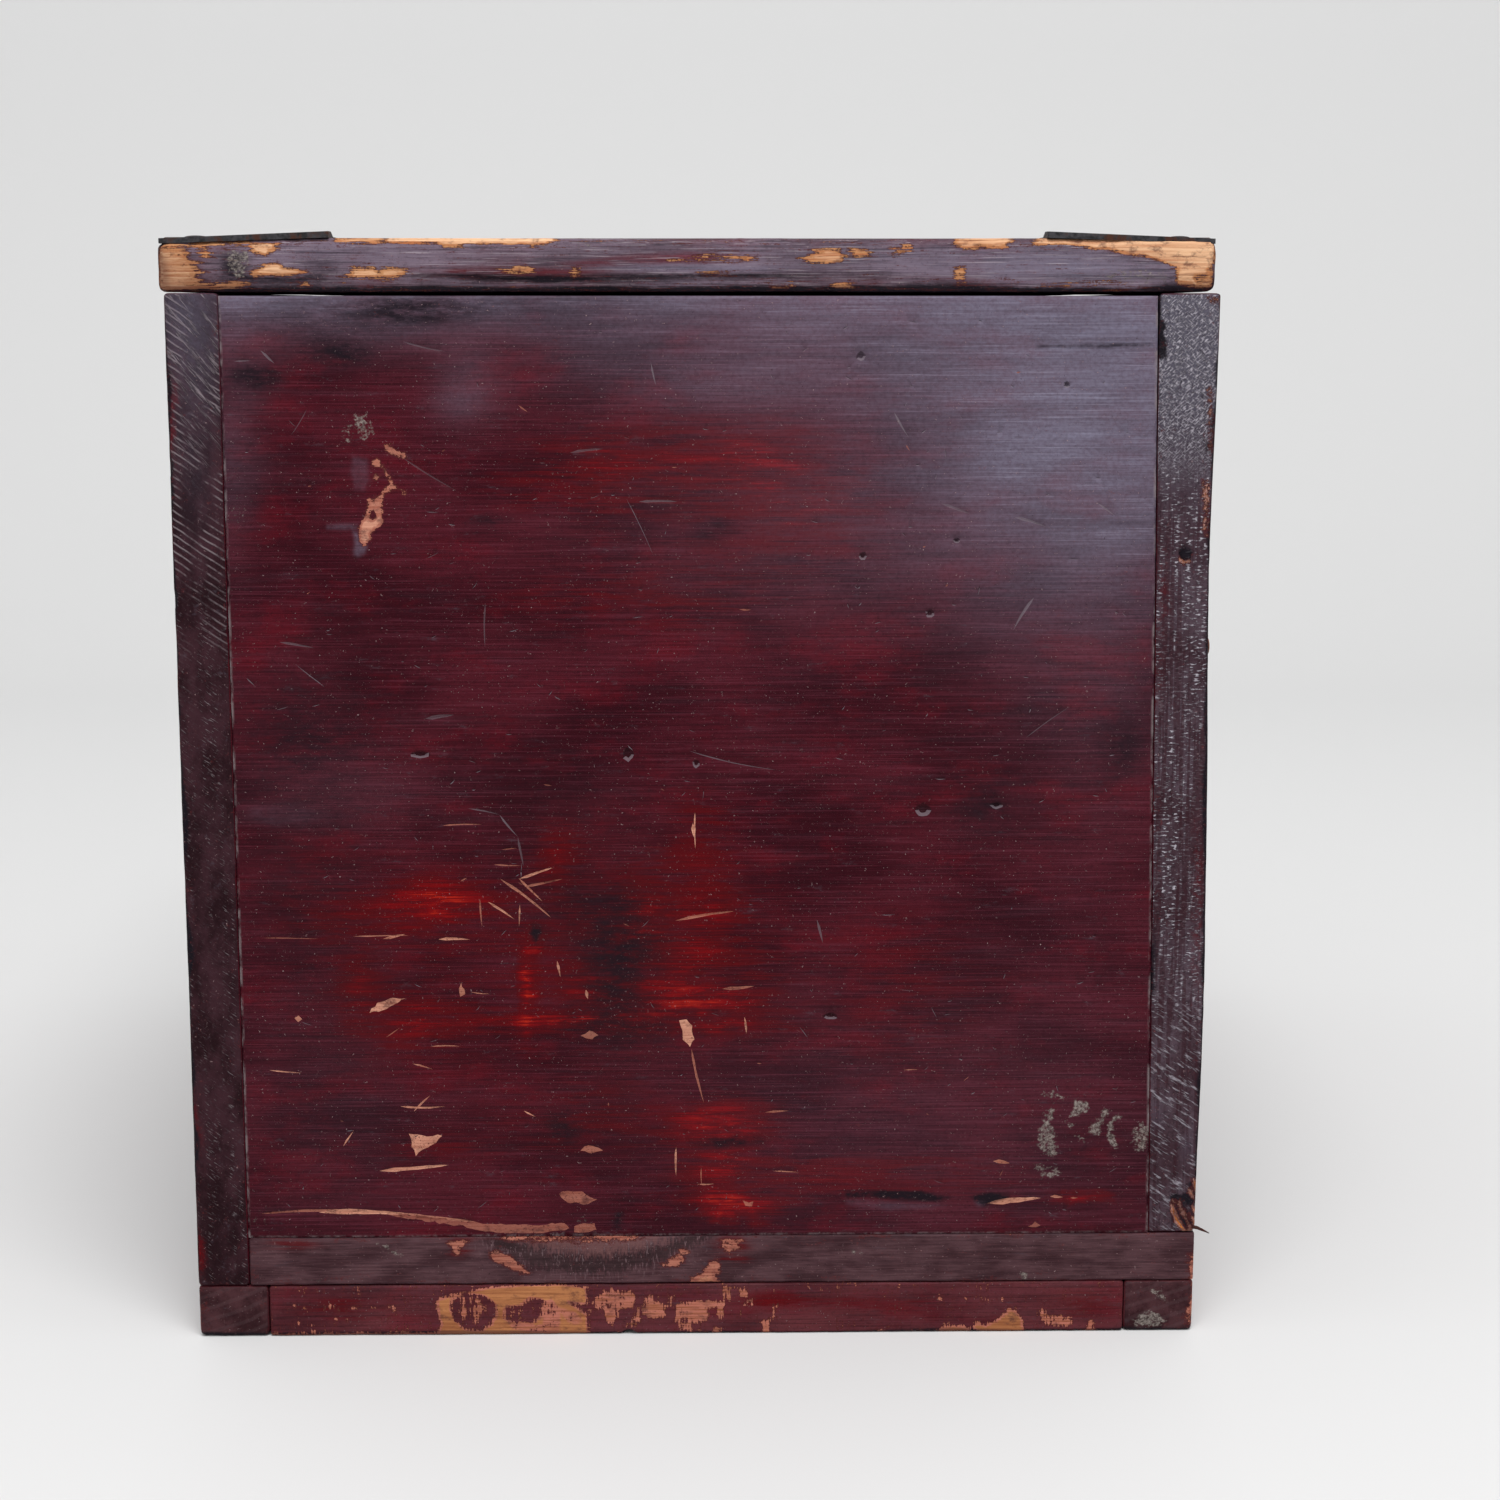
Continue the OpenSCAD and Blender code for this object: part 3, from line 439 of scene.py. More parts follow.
def scratch(x0, z0, x1, z1, width, dice):
    """Outline and bed line of a scratch that tapers to both ends."""
    start, end = Vector((x0, z0)), Vector((x1, z1))
    run = end - start
    side = Vector((run.y, -run.x)).normalized()
    count = max(3, round(run.length / 2))
    bow = dice.uniform(-0.03, 0.03) * run.length
    right, left, bed = [], [], []
    for i in range(1, count):
        t = i / count
        middle = start + run * t + side * bow * math.sin(math.pi * t)
        half = 0.42 * width * min(1, 5 * t) * (1.05 - t) ** 0.5
        right.append(middle + side * half * dice.uniform(0.75, 1.2))
        left.append(middle - side * half * dice.uniform(0.75, 1.2))
        bed.append(middle)
    return [start] + right + [end] + left[::-1], bed


def ragged_outline(corners, dice, amount, pitch=1.2):
    """A chip's outline, with points added between its corners and pushed a little in or out."""
    outline = []
    for (x0, z0), (x1, z1) in zip(corners, corners[1:] + corners[:1]):
        count = max(1, round(math.hypot(x1 - x0, z1 - z0) / pitch))
        for i in range(count):
            t = i / count
            outline.append(Vector((x0 + (x1 - x0) * t + dice.uniform(-amount, amount),
                                   z0 + (z1 - z0) * t + dice.uniform(-amount, amount))))
    turning = sum(a.x * b.y - b.x * a.y for a, b in zip(outline, outline[1:] + outline[:1]))
    return outline if turning > 0 else outline[::-1]


def shrunk(outline, share):
    middle = sum(outline, Vector((0, 0))) / len(outline)
    return [middle + (p - middle) * share for p in outline]


def oval(x, z, half_w, half_h, dice, count=12):
    angles = [2 * math.pi * i / count for i in range(count)]
    return [Vector((x + half_w * math.cos(a) * dice.uniform(0.8, 1.1),
                    z + half_h * math.sin(a) * dice.uniform(0.8, 1.1))) for a in angles]


def panel_marks():
    """All marks on the panel's face: kind, strength, outline, inner points and their depth."""
    margin = 4
    dice = random.Random(7)
    marks = [(SCAR, dice.uniform(0.7, 1), *scratch(*s, dice), 0.22 * s[-1]) for s in BARE_SCRATCHES]
    marks += [(SCUFF, dice.uniform(0.25, 0.6), *scratch(*s, dice), 0.3 * s[-1]) for s in GREY_SCRATCHES]
    for dent in DENTS:
        outline = oval(*dent, dice)
        marks.append((DENT, 0.55, outline, shrunk(outline, 0.5), 0.7))
    for strength, *corners in CHIPS:
        marks.append((SCAR, strength, ragged_outline(corners, dice, 0.3), [], 0.3))
    # Small scratches and nicks of daily use, most of them along the grain
    for _ in range(SMALL_MARKS):
        x = dice.uniform(panel_low[0] + margin, panel_high[0] - margin)
        z = dice.uniform(panel_low[2] + margin, panel_high[2] - margin)
        angle = dice.gauss(0, 0.5) if dice.random() < 0.7 else dice.uniform(-1.6, 1.6)
        half = 0.5 * dice.uniform(0.8, 2) * dice.choice((1, 1, 1, 2))
        nick = (x - half * math.cos(angle), z - half * math.sin(angle), x + half * math.cos(angle),
                z + half * math.sin(angle), dice.uniform(0.3, 0.6))
        kind = SCAR if dice.random() < 0.08 else DENT
        marks.append((kind, dice.uniform(0.3, 0.8), *scratch(*nick, dice), 0.3 * nick[-1]))
    return marks


def panel_face():
    """Points, depths, triangles and mark kinds of the panel's outer face, in its own plane."""
    (x0, _, z0), (x1, _, z1) = panel_low, panel_high
    marks = panel_marks()
    near = {(round(p.x), round(p.y)) for _, _, outline, bed, _ in marks for p in outline + bed}
    dice = random.Random(11)
    points, depths, rings = [], [], []

    def place(x, z, depth):
        points.append(Vector((x, z)))
        depths.append(depth)
        return len(points) - 1

    def place_inside(p, depth, gap):
        return place(min(max(p[0], x0 + gap), x1 - gap), min(max(p[1], z0 + gap), z1 - gap), depth)

    columns = round((x1 - x0) / PANEL_PITCH)
    rows = round((z1 - z0) / PANEL_PITCH)
    inset = 2 * PANEL_ARRIS
    for i in range(columns + 1):
        for j in range(rows + 1):
            x = x0 + (x1 - x0) * i / columns
            z = z0 + (z1 - z0) * j / rows
            if i in (0, columns) or j in (0, rows):
                # A second row just inside the rim keeps the worn edge narrow
                place(x, z, PANEL_ARRIS * dice.uniform(0.5, 1.1))
                place_inside((x, z), 0, inset)
                continue
            x += dice.uniform(-0.7, 0.7)
            z += dice.uniform(-0.7, 0.7)
            if not any((round(x) + a, round(z) + b) in near for a in (-1, 0, 1) for b in (-1, 0, 1)):
                place(x, z, 0)
    for xa, xb, za, zb in CLOSE_ZONES:
        for i in range(round((xb - xa) / CLOSE_PITCH)):
            for j in range(round((zb - za) / CLOSE_PITCH)):
                x, z = (a + CLOSE_PITCH * (k + dice.random()) for a, k in ((xa, i), (za, j)))
                place_inside((x, z), 0, inset)
    for _, _, outline, bed, depth in marks:
        rings.append([place_inside(p, 0, inset + 0.1) for p in outline])
        for p in bed:
            place_inside(p, depth, inset + 0.2)
    found = delaunay_2d_cdt(points, [], rings, 0, 1e-3, True)
    face_points, _, triangles, sources, _, owners = found
    face_depths = [max((depths[i] for i in source), key=abs, default=0) for source in sources]
    kinds = [marks[owner[-1]][:2] if owner else ("", 0) for owner in owners]
    return face_points, face_depths, triangles, kinds


def depth_inside(x, z, corners):
    """How far a place lies inside an outline on the back of the box: negative outside it."""
    inside, nearest = False, math.inf
    for (x0, z0), (x1, z1) in zip(corners, corners[1:] + corners[:1]):
        run_x, run_z = x1 - x0, z1 - z0
        t = min(max(((x - x0) * run_x + (z - z0) * run_z) / (run_x ** 2 + run_z ** 2), 0), 1)
        nearest = min(nearest, math.hypot(x - x0 - t * run_x, z - z0 - t * run_z))
        if (z0 > z) != (z1 > z) and x < x0 + (z - z0) * run_x / run_z:
            inside = not inside
    return nearest if inside else -nearest


def patches_at(p, patches):
    """Strength of outlined patches at a point: each has a soft edge and covers the ones before it."""
    value = 0.0
    for strength, *corners in patches:
        share = min(max(0.5 + depth_inside(p[0], p[2], corners) / PATCH_EDGE, 0), 1)
        value += (strength - value) * share
    return value


def make_back_panel():
    face_points, depths, triangles, kinds = panel_face()
    y_out, y_in = panel_low[1], panel_high[1]
    points = []
    for p, depth in zip(face_points, depths):
        wave = 0.12 * noise.noise(Vector((p.x * 0.02, 3.1, p.y * 0.06)))
        share = (p.x - panel_low[0]) / (panel_high[0] - panel_low[0])
        points.append((p.x + lean(p.y) * share, y_out + depth + 0.12 + wave, p.y))
    # The inner face is plain, and the rim of the outer face is joined to it
    sides = {(a, b) for t in triangles for a, b in zip(t, list(t[1:]) + [t[0]])}
    after = {a: b for a, b in sides if (b, a) not in sides}
    loop = [min(after)]
    while after[loop[-1]] != loop[0]:
        loop.append(after[loop[-1]])
    inner = {i: len(points) + n for n, i in enumerate(loop)}
    points += [(points[i][0], y_in, points[i][2]) for i in loop]
    faces = [list(t) for t in triangles]
    faces += [[b, a, inner[a], inner[b]] for a, b in zip(loop, loop[1:] + loop[:1])]
    faces.append([inner[i] for i in reversed(loop)])
    finish = lacquer("panel_lacquer", X_AXIS, "#340914", "#4b1520", pale="#dca087", dark="#9c5a49")
    piece = new_piece("worn_back_panel", points, faces, finish, "back_panel")
    spare = [0.0] * (len(faces) - len(triangles))
    paint(piece, "scar", [strength * (kind == SCAR) for kind, strength in kinds] + spare, "FACE")
    paint(piece, "dent", [strength * (kind in (DENT, SCUFF)) for kind, strength in kinds] + spare, "FACE")
    pale = [kind == SCUFF for kind, _ in kinds] + spare
    lit = [1.0 * (scuffed or face.normal.z > 0.02) for scuffed, face in zip(pale, piece.data.polygons)]
    paint(piece, "lit", lit, "FACE")
    layers = {"bloom_and_sheen": (PANEL_BLOOM_AND_SHEEN, GREY_STROKES), "glow": (PANEL_GLOW, ()),
              "grime_and_shade": (PANEL_GLOOM, DARK_STROKES), "crust_and_glint": (PANEL_CRUST, CRUST_BLOTS),
              "worn": ((), TORN_FLAKE)}
    for name, (spots, patches) in layers.items():
        paint(piece, name, [spots_at(p, spots) + patches_at(p, patches) for p in points])
    left, right = panel_low[0] + PANEL_ARRIS, panel_high[0] - PANEL_ARRIS
    foot = panel_low[2] + PANEL_ARRIS

    def rim_at(p):
        x = p[0] - lean(p[2]) * (p[0] > 0)
        return 1.0 * (not left < x < right) + 0.6 * (p[2] < foot)

    paint(piece, "rim", [rim_at(p) for p in points])


make_back_panel()

# Side walls.
# One thick board on each side, its grain running from back to front, so that the back shows end grain.
# Both are lacquered, nibbled along the arrises, and the right one has a torn corner at its foot.

NIBBLE = 2.2


def ticks(low, high, pitch, arris):
    """Lattice lines along a board: close together at its arrises, even between them."""
    close = [share * arris for share in (0, 0.35, 0.8, 1.5)]
    run = high - low - 2 * close[-1]
    count = max(1, round(run / pitch))
    middle = [low + close[-1] + run * i / count for i in range(1, count)]
    return [low + c for c in close] + middle + [high - c for c in reversed(close)]


def board_lattice(axes):
    """Points and outward faces of a closed board whose sides are ruled with lattice lines."""
    index, points, faces, sides = {}, [], [], []

    def corner(key):
        if key not in index:
            index[key] = len(points)
            points.append([axes[a][key[a]] for a in range(3)])
        return index[key]

    for a in range(3):
        b, c = (a + 1) % 3, (a + 2) % 3
        for end in (0, len(axes[a]) - 1):
            for i in range(len(axes[b]) - 1):
                for j in range(len(axes[c]) - 1):
                    quad = []
                    for di, dj in ((0, 0), (1, 0), (1, 1), (0, 1)):
                        key = [0, 0, 0]
                        key[a], key[b], key[c] = end, i + di, j + dj
                        quad.append(corner(tuple(key)))
                    faces.append(quad if end else quad[::-1])
                    sides.append(a)
    return points, faces, sides


def worn_board(node, finish, pitch, arris=1.0, seed=1, rub=0.42, grain_axis=X_AXIS, high=None,
               bites=(), layers=None, reshape=None):
    """A board with unevenly rounded arrises, small bites and slightly hollow faces, all inside its box.
    Layers name what is painted on it, each as a function of a point."""
    low, full = span(node)
    high = high or full
    points, faces, sides = board_lattice([ticks(l, h, p, arris) for l, h, p in zip(low, high, pitch)])
    drift = Vector((seed * 17.3, seed * 5.1, seed * 9.7))
    moved, worn = [], []
    for p in points:
        at = Vector(p)
        radius = arris * (1 + 0.5 * noise.noise(at * 0.045 + drift) + 0.35 * noise.noise(at * 0.3 + drift))
        core = Vector([min(max(c, l + radius), h - radius) for c, l, h in zip(p, low, high)])
        off = at - core
        if off.length > radius:
            at = core + off * (radius / off.length)
        hollow = 0.1 + 0.1 * noise.noise(at * 0.03 + drift)
        for a in range(3):
            at[a] += hollow * ((p[a] == low[a]) - (p[a] == high[a]))
        gaps = sorted(min(c - l, h - c) for c, l, h in zip(p, low, high))
        rubbed = rub * math.exp(-gaps[1] / 2.2)
        for x, y, z, bite in bites:
            off = at - Vector((x, y, z))
            if off.length < 1.2 * bite:
                rubbed = max(rubbed, 0.12)
            if off.length < bite:
                at = Vector((x, y, z)) + off.normalized() * bite
        if reshape:
            at = reshape(p, at)
        moved.append(at)
        worn.append(rubbed)
    piece = new_piece("worn_" + node, moved, faces, finish, node)
    layers = dict(layers or {})
    extra = layers.pop("worn", None)
    paint(piece, "worn", [w + (extra(p) if extra else 0) for w, p in zip(worn, points)])
    paint(piece, "end", [1.0 * (a == grain_axis) for a in sides], "FACE")
    for name, layer in layers.items():
        paint(piece, name, [layer(p) for p in points])
    return piece


def rings(tree, period, turn=(0, 0, 0), centre=(0, 0, 0), stray=1.0, **settings):
    """Ring lines, one for each period in millimetres, that stray a little."""
    one_band = 2 * math.pi / 20
    inputs = {"Vector": ruled(tree, [period / one_band] * 3, turn, centre), "Scale": 1, "Distortion": stray,
              "Detail": 3, "Detail Scale": 0.8}
    return add_node(tree, "ShaderNodeTexWave", inputs, bands_direction="Z", **settings).outputs["Fac"]


def height_of(tree):
    """Height above the floor in millimetres."""
    return add_node(tree, "ShaderNodeSeparateXYZ", {0: ruled(tree, (1, 1, 1))}).outputs[2]


def slanted_end_grain(tree):
    """Left wall: pale slanting gouges at the top, fine ring lines under them painted as highlights on
    raised ridges, then rows of specks painted as glints.
    """
    z = height_of(tree)
    clouds = grain(tree, (9, 9, 14), detail=6, rough=0.7)
    colour = mix(tree, step(tree, clouds, 0.35, 0.65), tone("#220f14"), tone("#3b2229"))
    lines = rings(tree, 1.8, (0, math.radians(-34), 0), stray=1.6)
    patches = grain(tree, (8, 8, 15), detail=4)
    ring_highlights = maths(tree, "MULTIPLY", step(tree, lines, 0.74, 0.98), step(tree, patches, 0.42, 0.6, 0, 0.6))
    ring_highlights = maths(tree, "MULTIPLY", ring_highlights, step(tree, z, 165, 215))
    gouges = grain(tree, (8, 8, 0.6), (0, math.radians(-50), 0), detail=4, rough=0.7)
    torn = maths(tree, "MULTIPLY", step(tree, gouges, 0.53, 0.66), step(tree, z, 222, 262, 0, 0.8))
    specks = grain(tree, (2.6, 2.6, 0.45), (0, math.radians(-36), 0), detail=3)
    rows = grain(tree, (3, 3, 70), detail=2)
    speck_glints = maths(tree, "MULTIPLY", step(tree, specks, 0.56, 0.66), step(tree, rows, 0.5, 0.62, 0.05, 0.6))
    speck_glints = maths(tree, "MULTIPLY", speck_glints, step(tree, z, 230, 190))
    shown = maths(tree, "MAXIMUM", maths(tree, "MAXIMUM", ring_highlights, torn), speck_glints)
    # The pale tone is the wood of the gouges, with painted highlights on the ring lines and painted glints
    # on the specks
    return mix(tree, shown, colour, tone("#8f8286")), shown


def beaded_end_grain(tree):
    """Right wall: painted glints on short hard dashes in upright rows, on a weave at the top and on
    slanting lines at the foot.
    """
    z = height_of(tree)

    def change(start, end, before, after):
        """Goes over from one pattern to another between two heights."""
        share = step(tree, z, start, end)
        return add_node(tree, "ShaderNodeMix", {0: share, 2: before, 3: after}).outputs[0]

    rows = step(tree, grain(tree, (1.4, 1.4, 40), detail=2), 0.43, 0.57, 0.12, 1)
    dashes = step(tree, grain(tree, (1.5, 1.5, 0.55), detail=2, rough=0.45), 0.53, 0.66)
    dashes = maths(tree, "MULTIPLY", dashes, rows)
    thread = (1.3, 1.3, 0.32)
    warp = grain(tree, thread, (0, math.radians(44), 0), detail=2, rough=0.5)
    weft = grain(tree, thread, (0, math.radians(-40), 0), detail=2, rough=0.5)
    weave = step(tree, weft, 0.52, 0.64, 0, 0.75)
    weave = maths(tree, "MAXIMUM", step(tree, warp, 0.5, 0.62, 0, 0.9), weave)
    slanted = grain(tree, (3.4, 3.4, 0.7), (0, math.radians(-32), 0), detail=3, rough=0.55)
    slanted = step(tree, slanted, 0.53, 0.68, 0, 0.55)
    bead = change(100, 80, change(228, 248, dashes, weave), slanted)
    clouds = grain(tree, (9, 9, 14), detail=5, rough=0.7)
    grit = grain(tree, (0.8, 0.8, 0.8), detail=3)
    colour = mix(tree, step(tree, clouds, 0.35, 0.65), tone("#3a272e"), tone("#50414a"))
    colour = mix(tree, step(tree, rows, 0.5, 0.1, 0, 0.6), colour, tone("#33181f"))
    colour = mix(tree, step(tree, z, 215, 262, 0, 0.75), colour, tone("#5a5966"))
    colour = mix(tree, step(tree, grit, 0.5, 0.66, 0, 0.5), colour, tone("#1d1217"))
    shown = maths(tree, "MULTIPLY", bead, step(tree, grit, 0.3, 0.55, 0.4, 0.9))
    # The pale tone is painted glints on the raised dashes, weave and slanting lines of the end grain
    return mix(tree, shown, colour, tone("#bcb6c0")), bead


def nibbles(seed, x, y, z_low, z_high, count):
    """Small bites along an upright arris."""
    dice = random.Random(seed)
    out = 1 if x > 0 else -1
    back = 1 if y > 0 else -1
    bites = []
    for _ in range(count):
        size = NIBBLE * dice.uniform(0.5, 1.3)
        bites.append((x + out * 0.55 * size, y + back * 0.55 * size, dice.uniform(z_low, z_high), size))
    return bites


wall_low, wall_high = span("left_wall")
X_LEFT, Y_BACK, Y_FRONT = wall_low[0], wall_low[1], wall_high[1]
X_RIGHT = span("right_wall")[1][0]
WALL_THICK = wall_high[0] - wall_low[0]
LEFT_WALL_HAZE = [(-128, 275, 12, 24, 0.5), (-128, 235, 8, 30, 0.2)]
LEFT_WALL_GLOW = [
    (-134.5, 252, 2, 5, 0.6), (-134.5, 243, 1.6, 4, 0.6), (-134.5, 24, 2, 6, 0.6),
    (-134, 60, 1.5, 8, 0.3),
]
RIGHT_WALL_HAZE = [
    (128, 282, 16, 16, 0.3), (128, 225, 10, 50, 0.15), (132, 52, 3, 6, 0.3), (122, 61, 3, 5, 0.3),
]
RIGHT_WALL_GLOW = [(133, 120, 2, 30, 0.25), (122, 205, 3, 12, 0.16), (122, 180, 3, 20, 0.16)]
# Painted shade in the worm hole and at the torn foot, a painted shadow line down the outer arris, and other
# dark spots
RIGHT_WALL_SHADE_AND_GRIME = [
    (128.7, 212.6, 1.3, 1, 2.2), (129, 38, 3, 1.2, 1.2), (132.5, 36.5, 3, 0.8, 0.7),
    (128, 33, 1.2, 3, 0.9), (121, 101, 1.6, 9, 1.2), (135.4, 160, 1, 200, 1.6),
    (133.5, 240, 0.9, 0.9, 1.2),
]
# A painted shadow line down the left wall's outer arris
LEFT_ARRIS_SHADOW = [(-135.4, 160, 1.1, 200, 1.8)]
# A hole torn at the joint with the panel, painted dark as the shade inside it
TORN_JOINT_SHADE = [
    [1.8, (120.8, 279.5), (121.3, 279.5), (121.4, 272.7), (122.2, 272.2), (122.6, 270.6),
     (121.9, 269.1), (122.9, 266.8), (122.7, 264.3), (123.1, 262.8), (122, 263), (120.8, 262.8)],
]
# Splits between the slivers of the torn foot, painted dark as the shade inside them
TORN_SPLIT_SHADE = [
    [2.4, (128.3, 36.2), (129.1, 36.6), (131.8, 31.8), (133.6, 28.4), (132.7, 28.2), (130.3, 31.4)],
    [2.4, (130.6, 35.6), (131.4, 35.2), (134.6, 30.4), (135.4, 28.4), (134.6, 28.4), (132.2, 32)],
    [2.4, (132.8, 41.4), (133.6, 42), (135.4, 38.2), (134.6, 37.6)],
    [2.4, (130.6, 38.6), (132.4, 39), (134.6, 36.8), (136, 36.2), (135, 35.2), (132.4, 36.6)],
]
# Lacquer rubbed thin along the outer arris
RUBBED_ARRIS = [
    [0.46, (132, 255.6), (133.8, 256.2), (134.8, 241.8), (134.6, 234.1), (133, 241.8), (132.6, 249.5)],
    [0.5, (131.9, 231.5), (133.9, 232.6), (134.8, 216), (132.6, 217.3)],
    [0.8, (131.9, 278.2), (134.8, 278.2), (134.8, 276.7), (132.8, 276.7)],
]
# Slivers of fresh wood at the torn foot of the right wall, and a bare rim under its worm hole
TORN_BARE = [
    [1.25, (127.2, 36.4), (129.3, 37.4), (132.4, 33.8), (135.6, 31.2), (135.4, 27.6), (131.2, 28.2),
     (128.4, 31.6)],
    [1.2, (131.8, 38.6), (133.6, 43.2), (136, 42.8), (135.8, 40), (135, 37.6), (133, 36.8)],
    [0.75, (126.8, 211.6), (128.6, 210.9), (130.4, 211.4), (129.8, 210), (128.4, 209.4), (127.2, 210.2)],
    [1.2, (133.2, 37), (136.2, 36), (136.4, 32.4), (134.1, 34.2)],
]
TORN_CORNER = [
    (136.8, Y_BACK - 1.2, 41, 2.6), (136.6, Y_BACK - 1.2, 36, 2.8), (129.5, Y_BACK - 0.6, 37.5, 1.6),
    (132, Y_BACK - 0.6, 36, 1.4),
]
WORM_HOLE = [(128.6, Y_BACK - 0.2, 213.3, 1.9), (128.6, Y_BACK + 0.6, 211.9, 1.5)]
LEFT_NOTCHES = [
    (-136.2, Y_BACK - 1, 235.4, 3), (-136, Y_BACK - 1, 201.1, 2.8), (-121, Y_BACK, 193.2, 1.6),
]


def at_back(spots, patches=(), drift=2.0):
    """A layer of soft spots and outlined patches that is painted on the back of the box only."""
    return lambda p: spots_at(p, spots, drift) + patches_at(p, patches) if p[1] < Y_BACK + 4 else 0.0


HOLLOW_REACH = 60


def lean_into_wall(p, at):
    """The right wall's inner edge follows the panel's lean, as deep as the panel is thick."""
    fade = min(max((panel_high[1] - p[1]) / (panel_high[1] - panel_low[1]), 0), 1)
    at.x += lean(p[2]) * fade * (X_RIGHT - p[0]) / WALL_THICK
    # The outer edge is worn hollow high up and stands out a little lower down
    if p[1] < Y_BACK + HOLLOW_REACH:
        near = (1 - (p[1] - Y_BACK) / HOLLOW_REACH) * (1 - (X_RIGHT - p[0]) / WALL_THICK)
        at.x += near * (0.9 * math.exp(-((p[2] - 95) / 45) ** 2) - math.exp(-((p[2] - 212) / 40) ** 2))
    return at


def scattered(seed, across, up, count, half_w, half_h, strength):
    """Soft spots strewn over a face: where they may lie, how many, their half sizes and strength."""
    dice = random.Random(seed)
    return [(dice.uniform(*across), dice.uniform(*up), half_w * dice.uniform(0.6, 1.4),
             half_h * dice.uniform(0.6, 1.4), strength * dice.uniform(0.5, 1)) for _ in range(count)]


def with_side(layer, spots):
    """Adds soft spots on the outer side of a wall to a layer that is painted on its back."""
    def both(p):
        on_side = abs(p[0]) > X_RIGHT - 2 and p[1] > Y_BACK + 6
        return layer(p) + (spots_at((p[1], 0, p[2]), spots) if on_side else 0.0)

    return both


WALL_FACE = (Y_BACK, Y_FRONT), (wall_low[2], wall_high[2])
SIDE_HAZE = scattered(61, *WALL_FACE, 7, 60, 10, 0.4)
SIDE_GLOW = scattered(62, *WALL_FACE, 8, 34, 7, 0.5)
SIDE_GLOOM = scattered(63, *WALL_FACE, 6, 60, 16, 0.55)
left_finish = lacquer("left_wall_lacquer", Y_AXIS, ends=slanted_end_grain, relief=(0.9, 0.5))
worn_board("left_wall", left_finish, (1.0, 14, 1.8), 1.1, 3, 0.16, Y_AXIS,
           bites=nibbles(5, X_LEFT, Y_BACK, 20, 275, 26) + nibbles(6, X_LEFT, Y_FRONT, 20, 275, 12)
           + LEFT_NOTCHES,
           layers={"bloom_and_sheen": with_side(at_back(LEFT_WALL_HAZE), SIDE_HAZE),
                   "glow": with_side(at_back(LEFT_WALL_GLOW), SIDE_GLOW),
                   "grime_and_shade": with_side(at_back(LEFT_ARRIS_SHADOW), SIDE_GLOOM)})
right_finish = lacquer("right_wall_lacquer", Y_AXIS, ends=beaded_end_grain, salmon="#a87f78",
                       pale="#dd8238", dark="#8c4f2e", relief=(0.9, 0.5))
parted = [[0, *split] for _, *split in TORN_SPLIT_SHADE]
worn_board("right_wall", right_finish, (0.8, 14, 1.2), 1.1, 4, 0.16, Y_AXIS,
           bites=nibbles(8, X_RIGHT, Y_BACK, 50, 275, 22) + nibbles(9, X_RIGHT, Y_FRONT, 30, 275, 12)
           + TORN_CORNER + WORM_HOLE,
           layers={"bloom_and_sheen": with_side(at_back(RIGHT_WALL_HAZE), SIDE_HAZE[::-1]),
                   "glow": with_side(at_back(RIGHT_WALL_GLOW), SIDE_GLOW[1:]),
                   "grime_and_shade": with_side(at_back(RIGHT_WALL_SHADE_AND_GRIME, TORN_JOINT_SHADE + TORN_SPLIT_SHADE), SIDE_GLOOM[1:]),
                   "worn": at_back([], TORN_BARE + parted + RUBBED_ARRIS)},
           reshape=lean_into_wall)
# A loose splinter that stands out at the torn foot
SPLINTER = [(133.6, 29.6, 0.55), (135.6, 29.2, 0.5), (137.4, 28.4, 0.35), (139, 27.6, 0.12)]
splinter_points = [(x, Y_BACK + 0.6 + side * size, z + up * size) for x, z, size in SPLINTER
                   for side, up in ((-1, 0), (0, -1), (1, 0), (0, 1))]
splinter_faces = [(4 * i + j, 4 * i + (j + 1) % 4, 4 * i + 4 + (j + 1) % 4, 4 * i + 4 + j)
                  for i in range(len(SPLINTER) - 1) for j in range(4)] + [(3, 2, 1, 0), (12, 13, 14, 15)]
splinter_finish = lacquer("splinter_wood", X_AXIS, "#3a2620", "#5d3c2c")
new_piece("wall_splinter", splinter_points, splinter_faces, splinter_finish, "right_wall")

# Bottom board and base frame.
# The bottom board lies on two runners and two rails, pegged together from below, and carries the panel.
# Its back edge shows curved growth rings, and the rear rail has lost much of its lacquer.

SMILE_CENTRE = (-28, Y_BACK, 70)
SMILE_BAND = (48, 52)


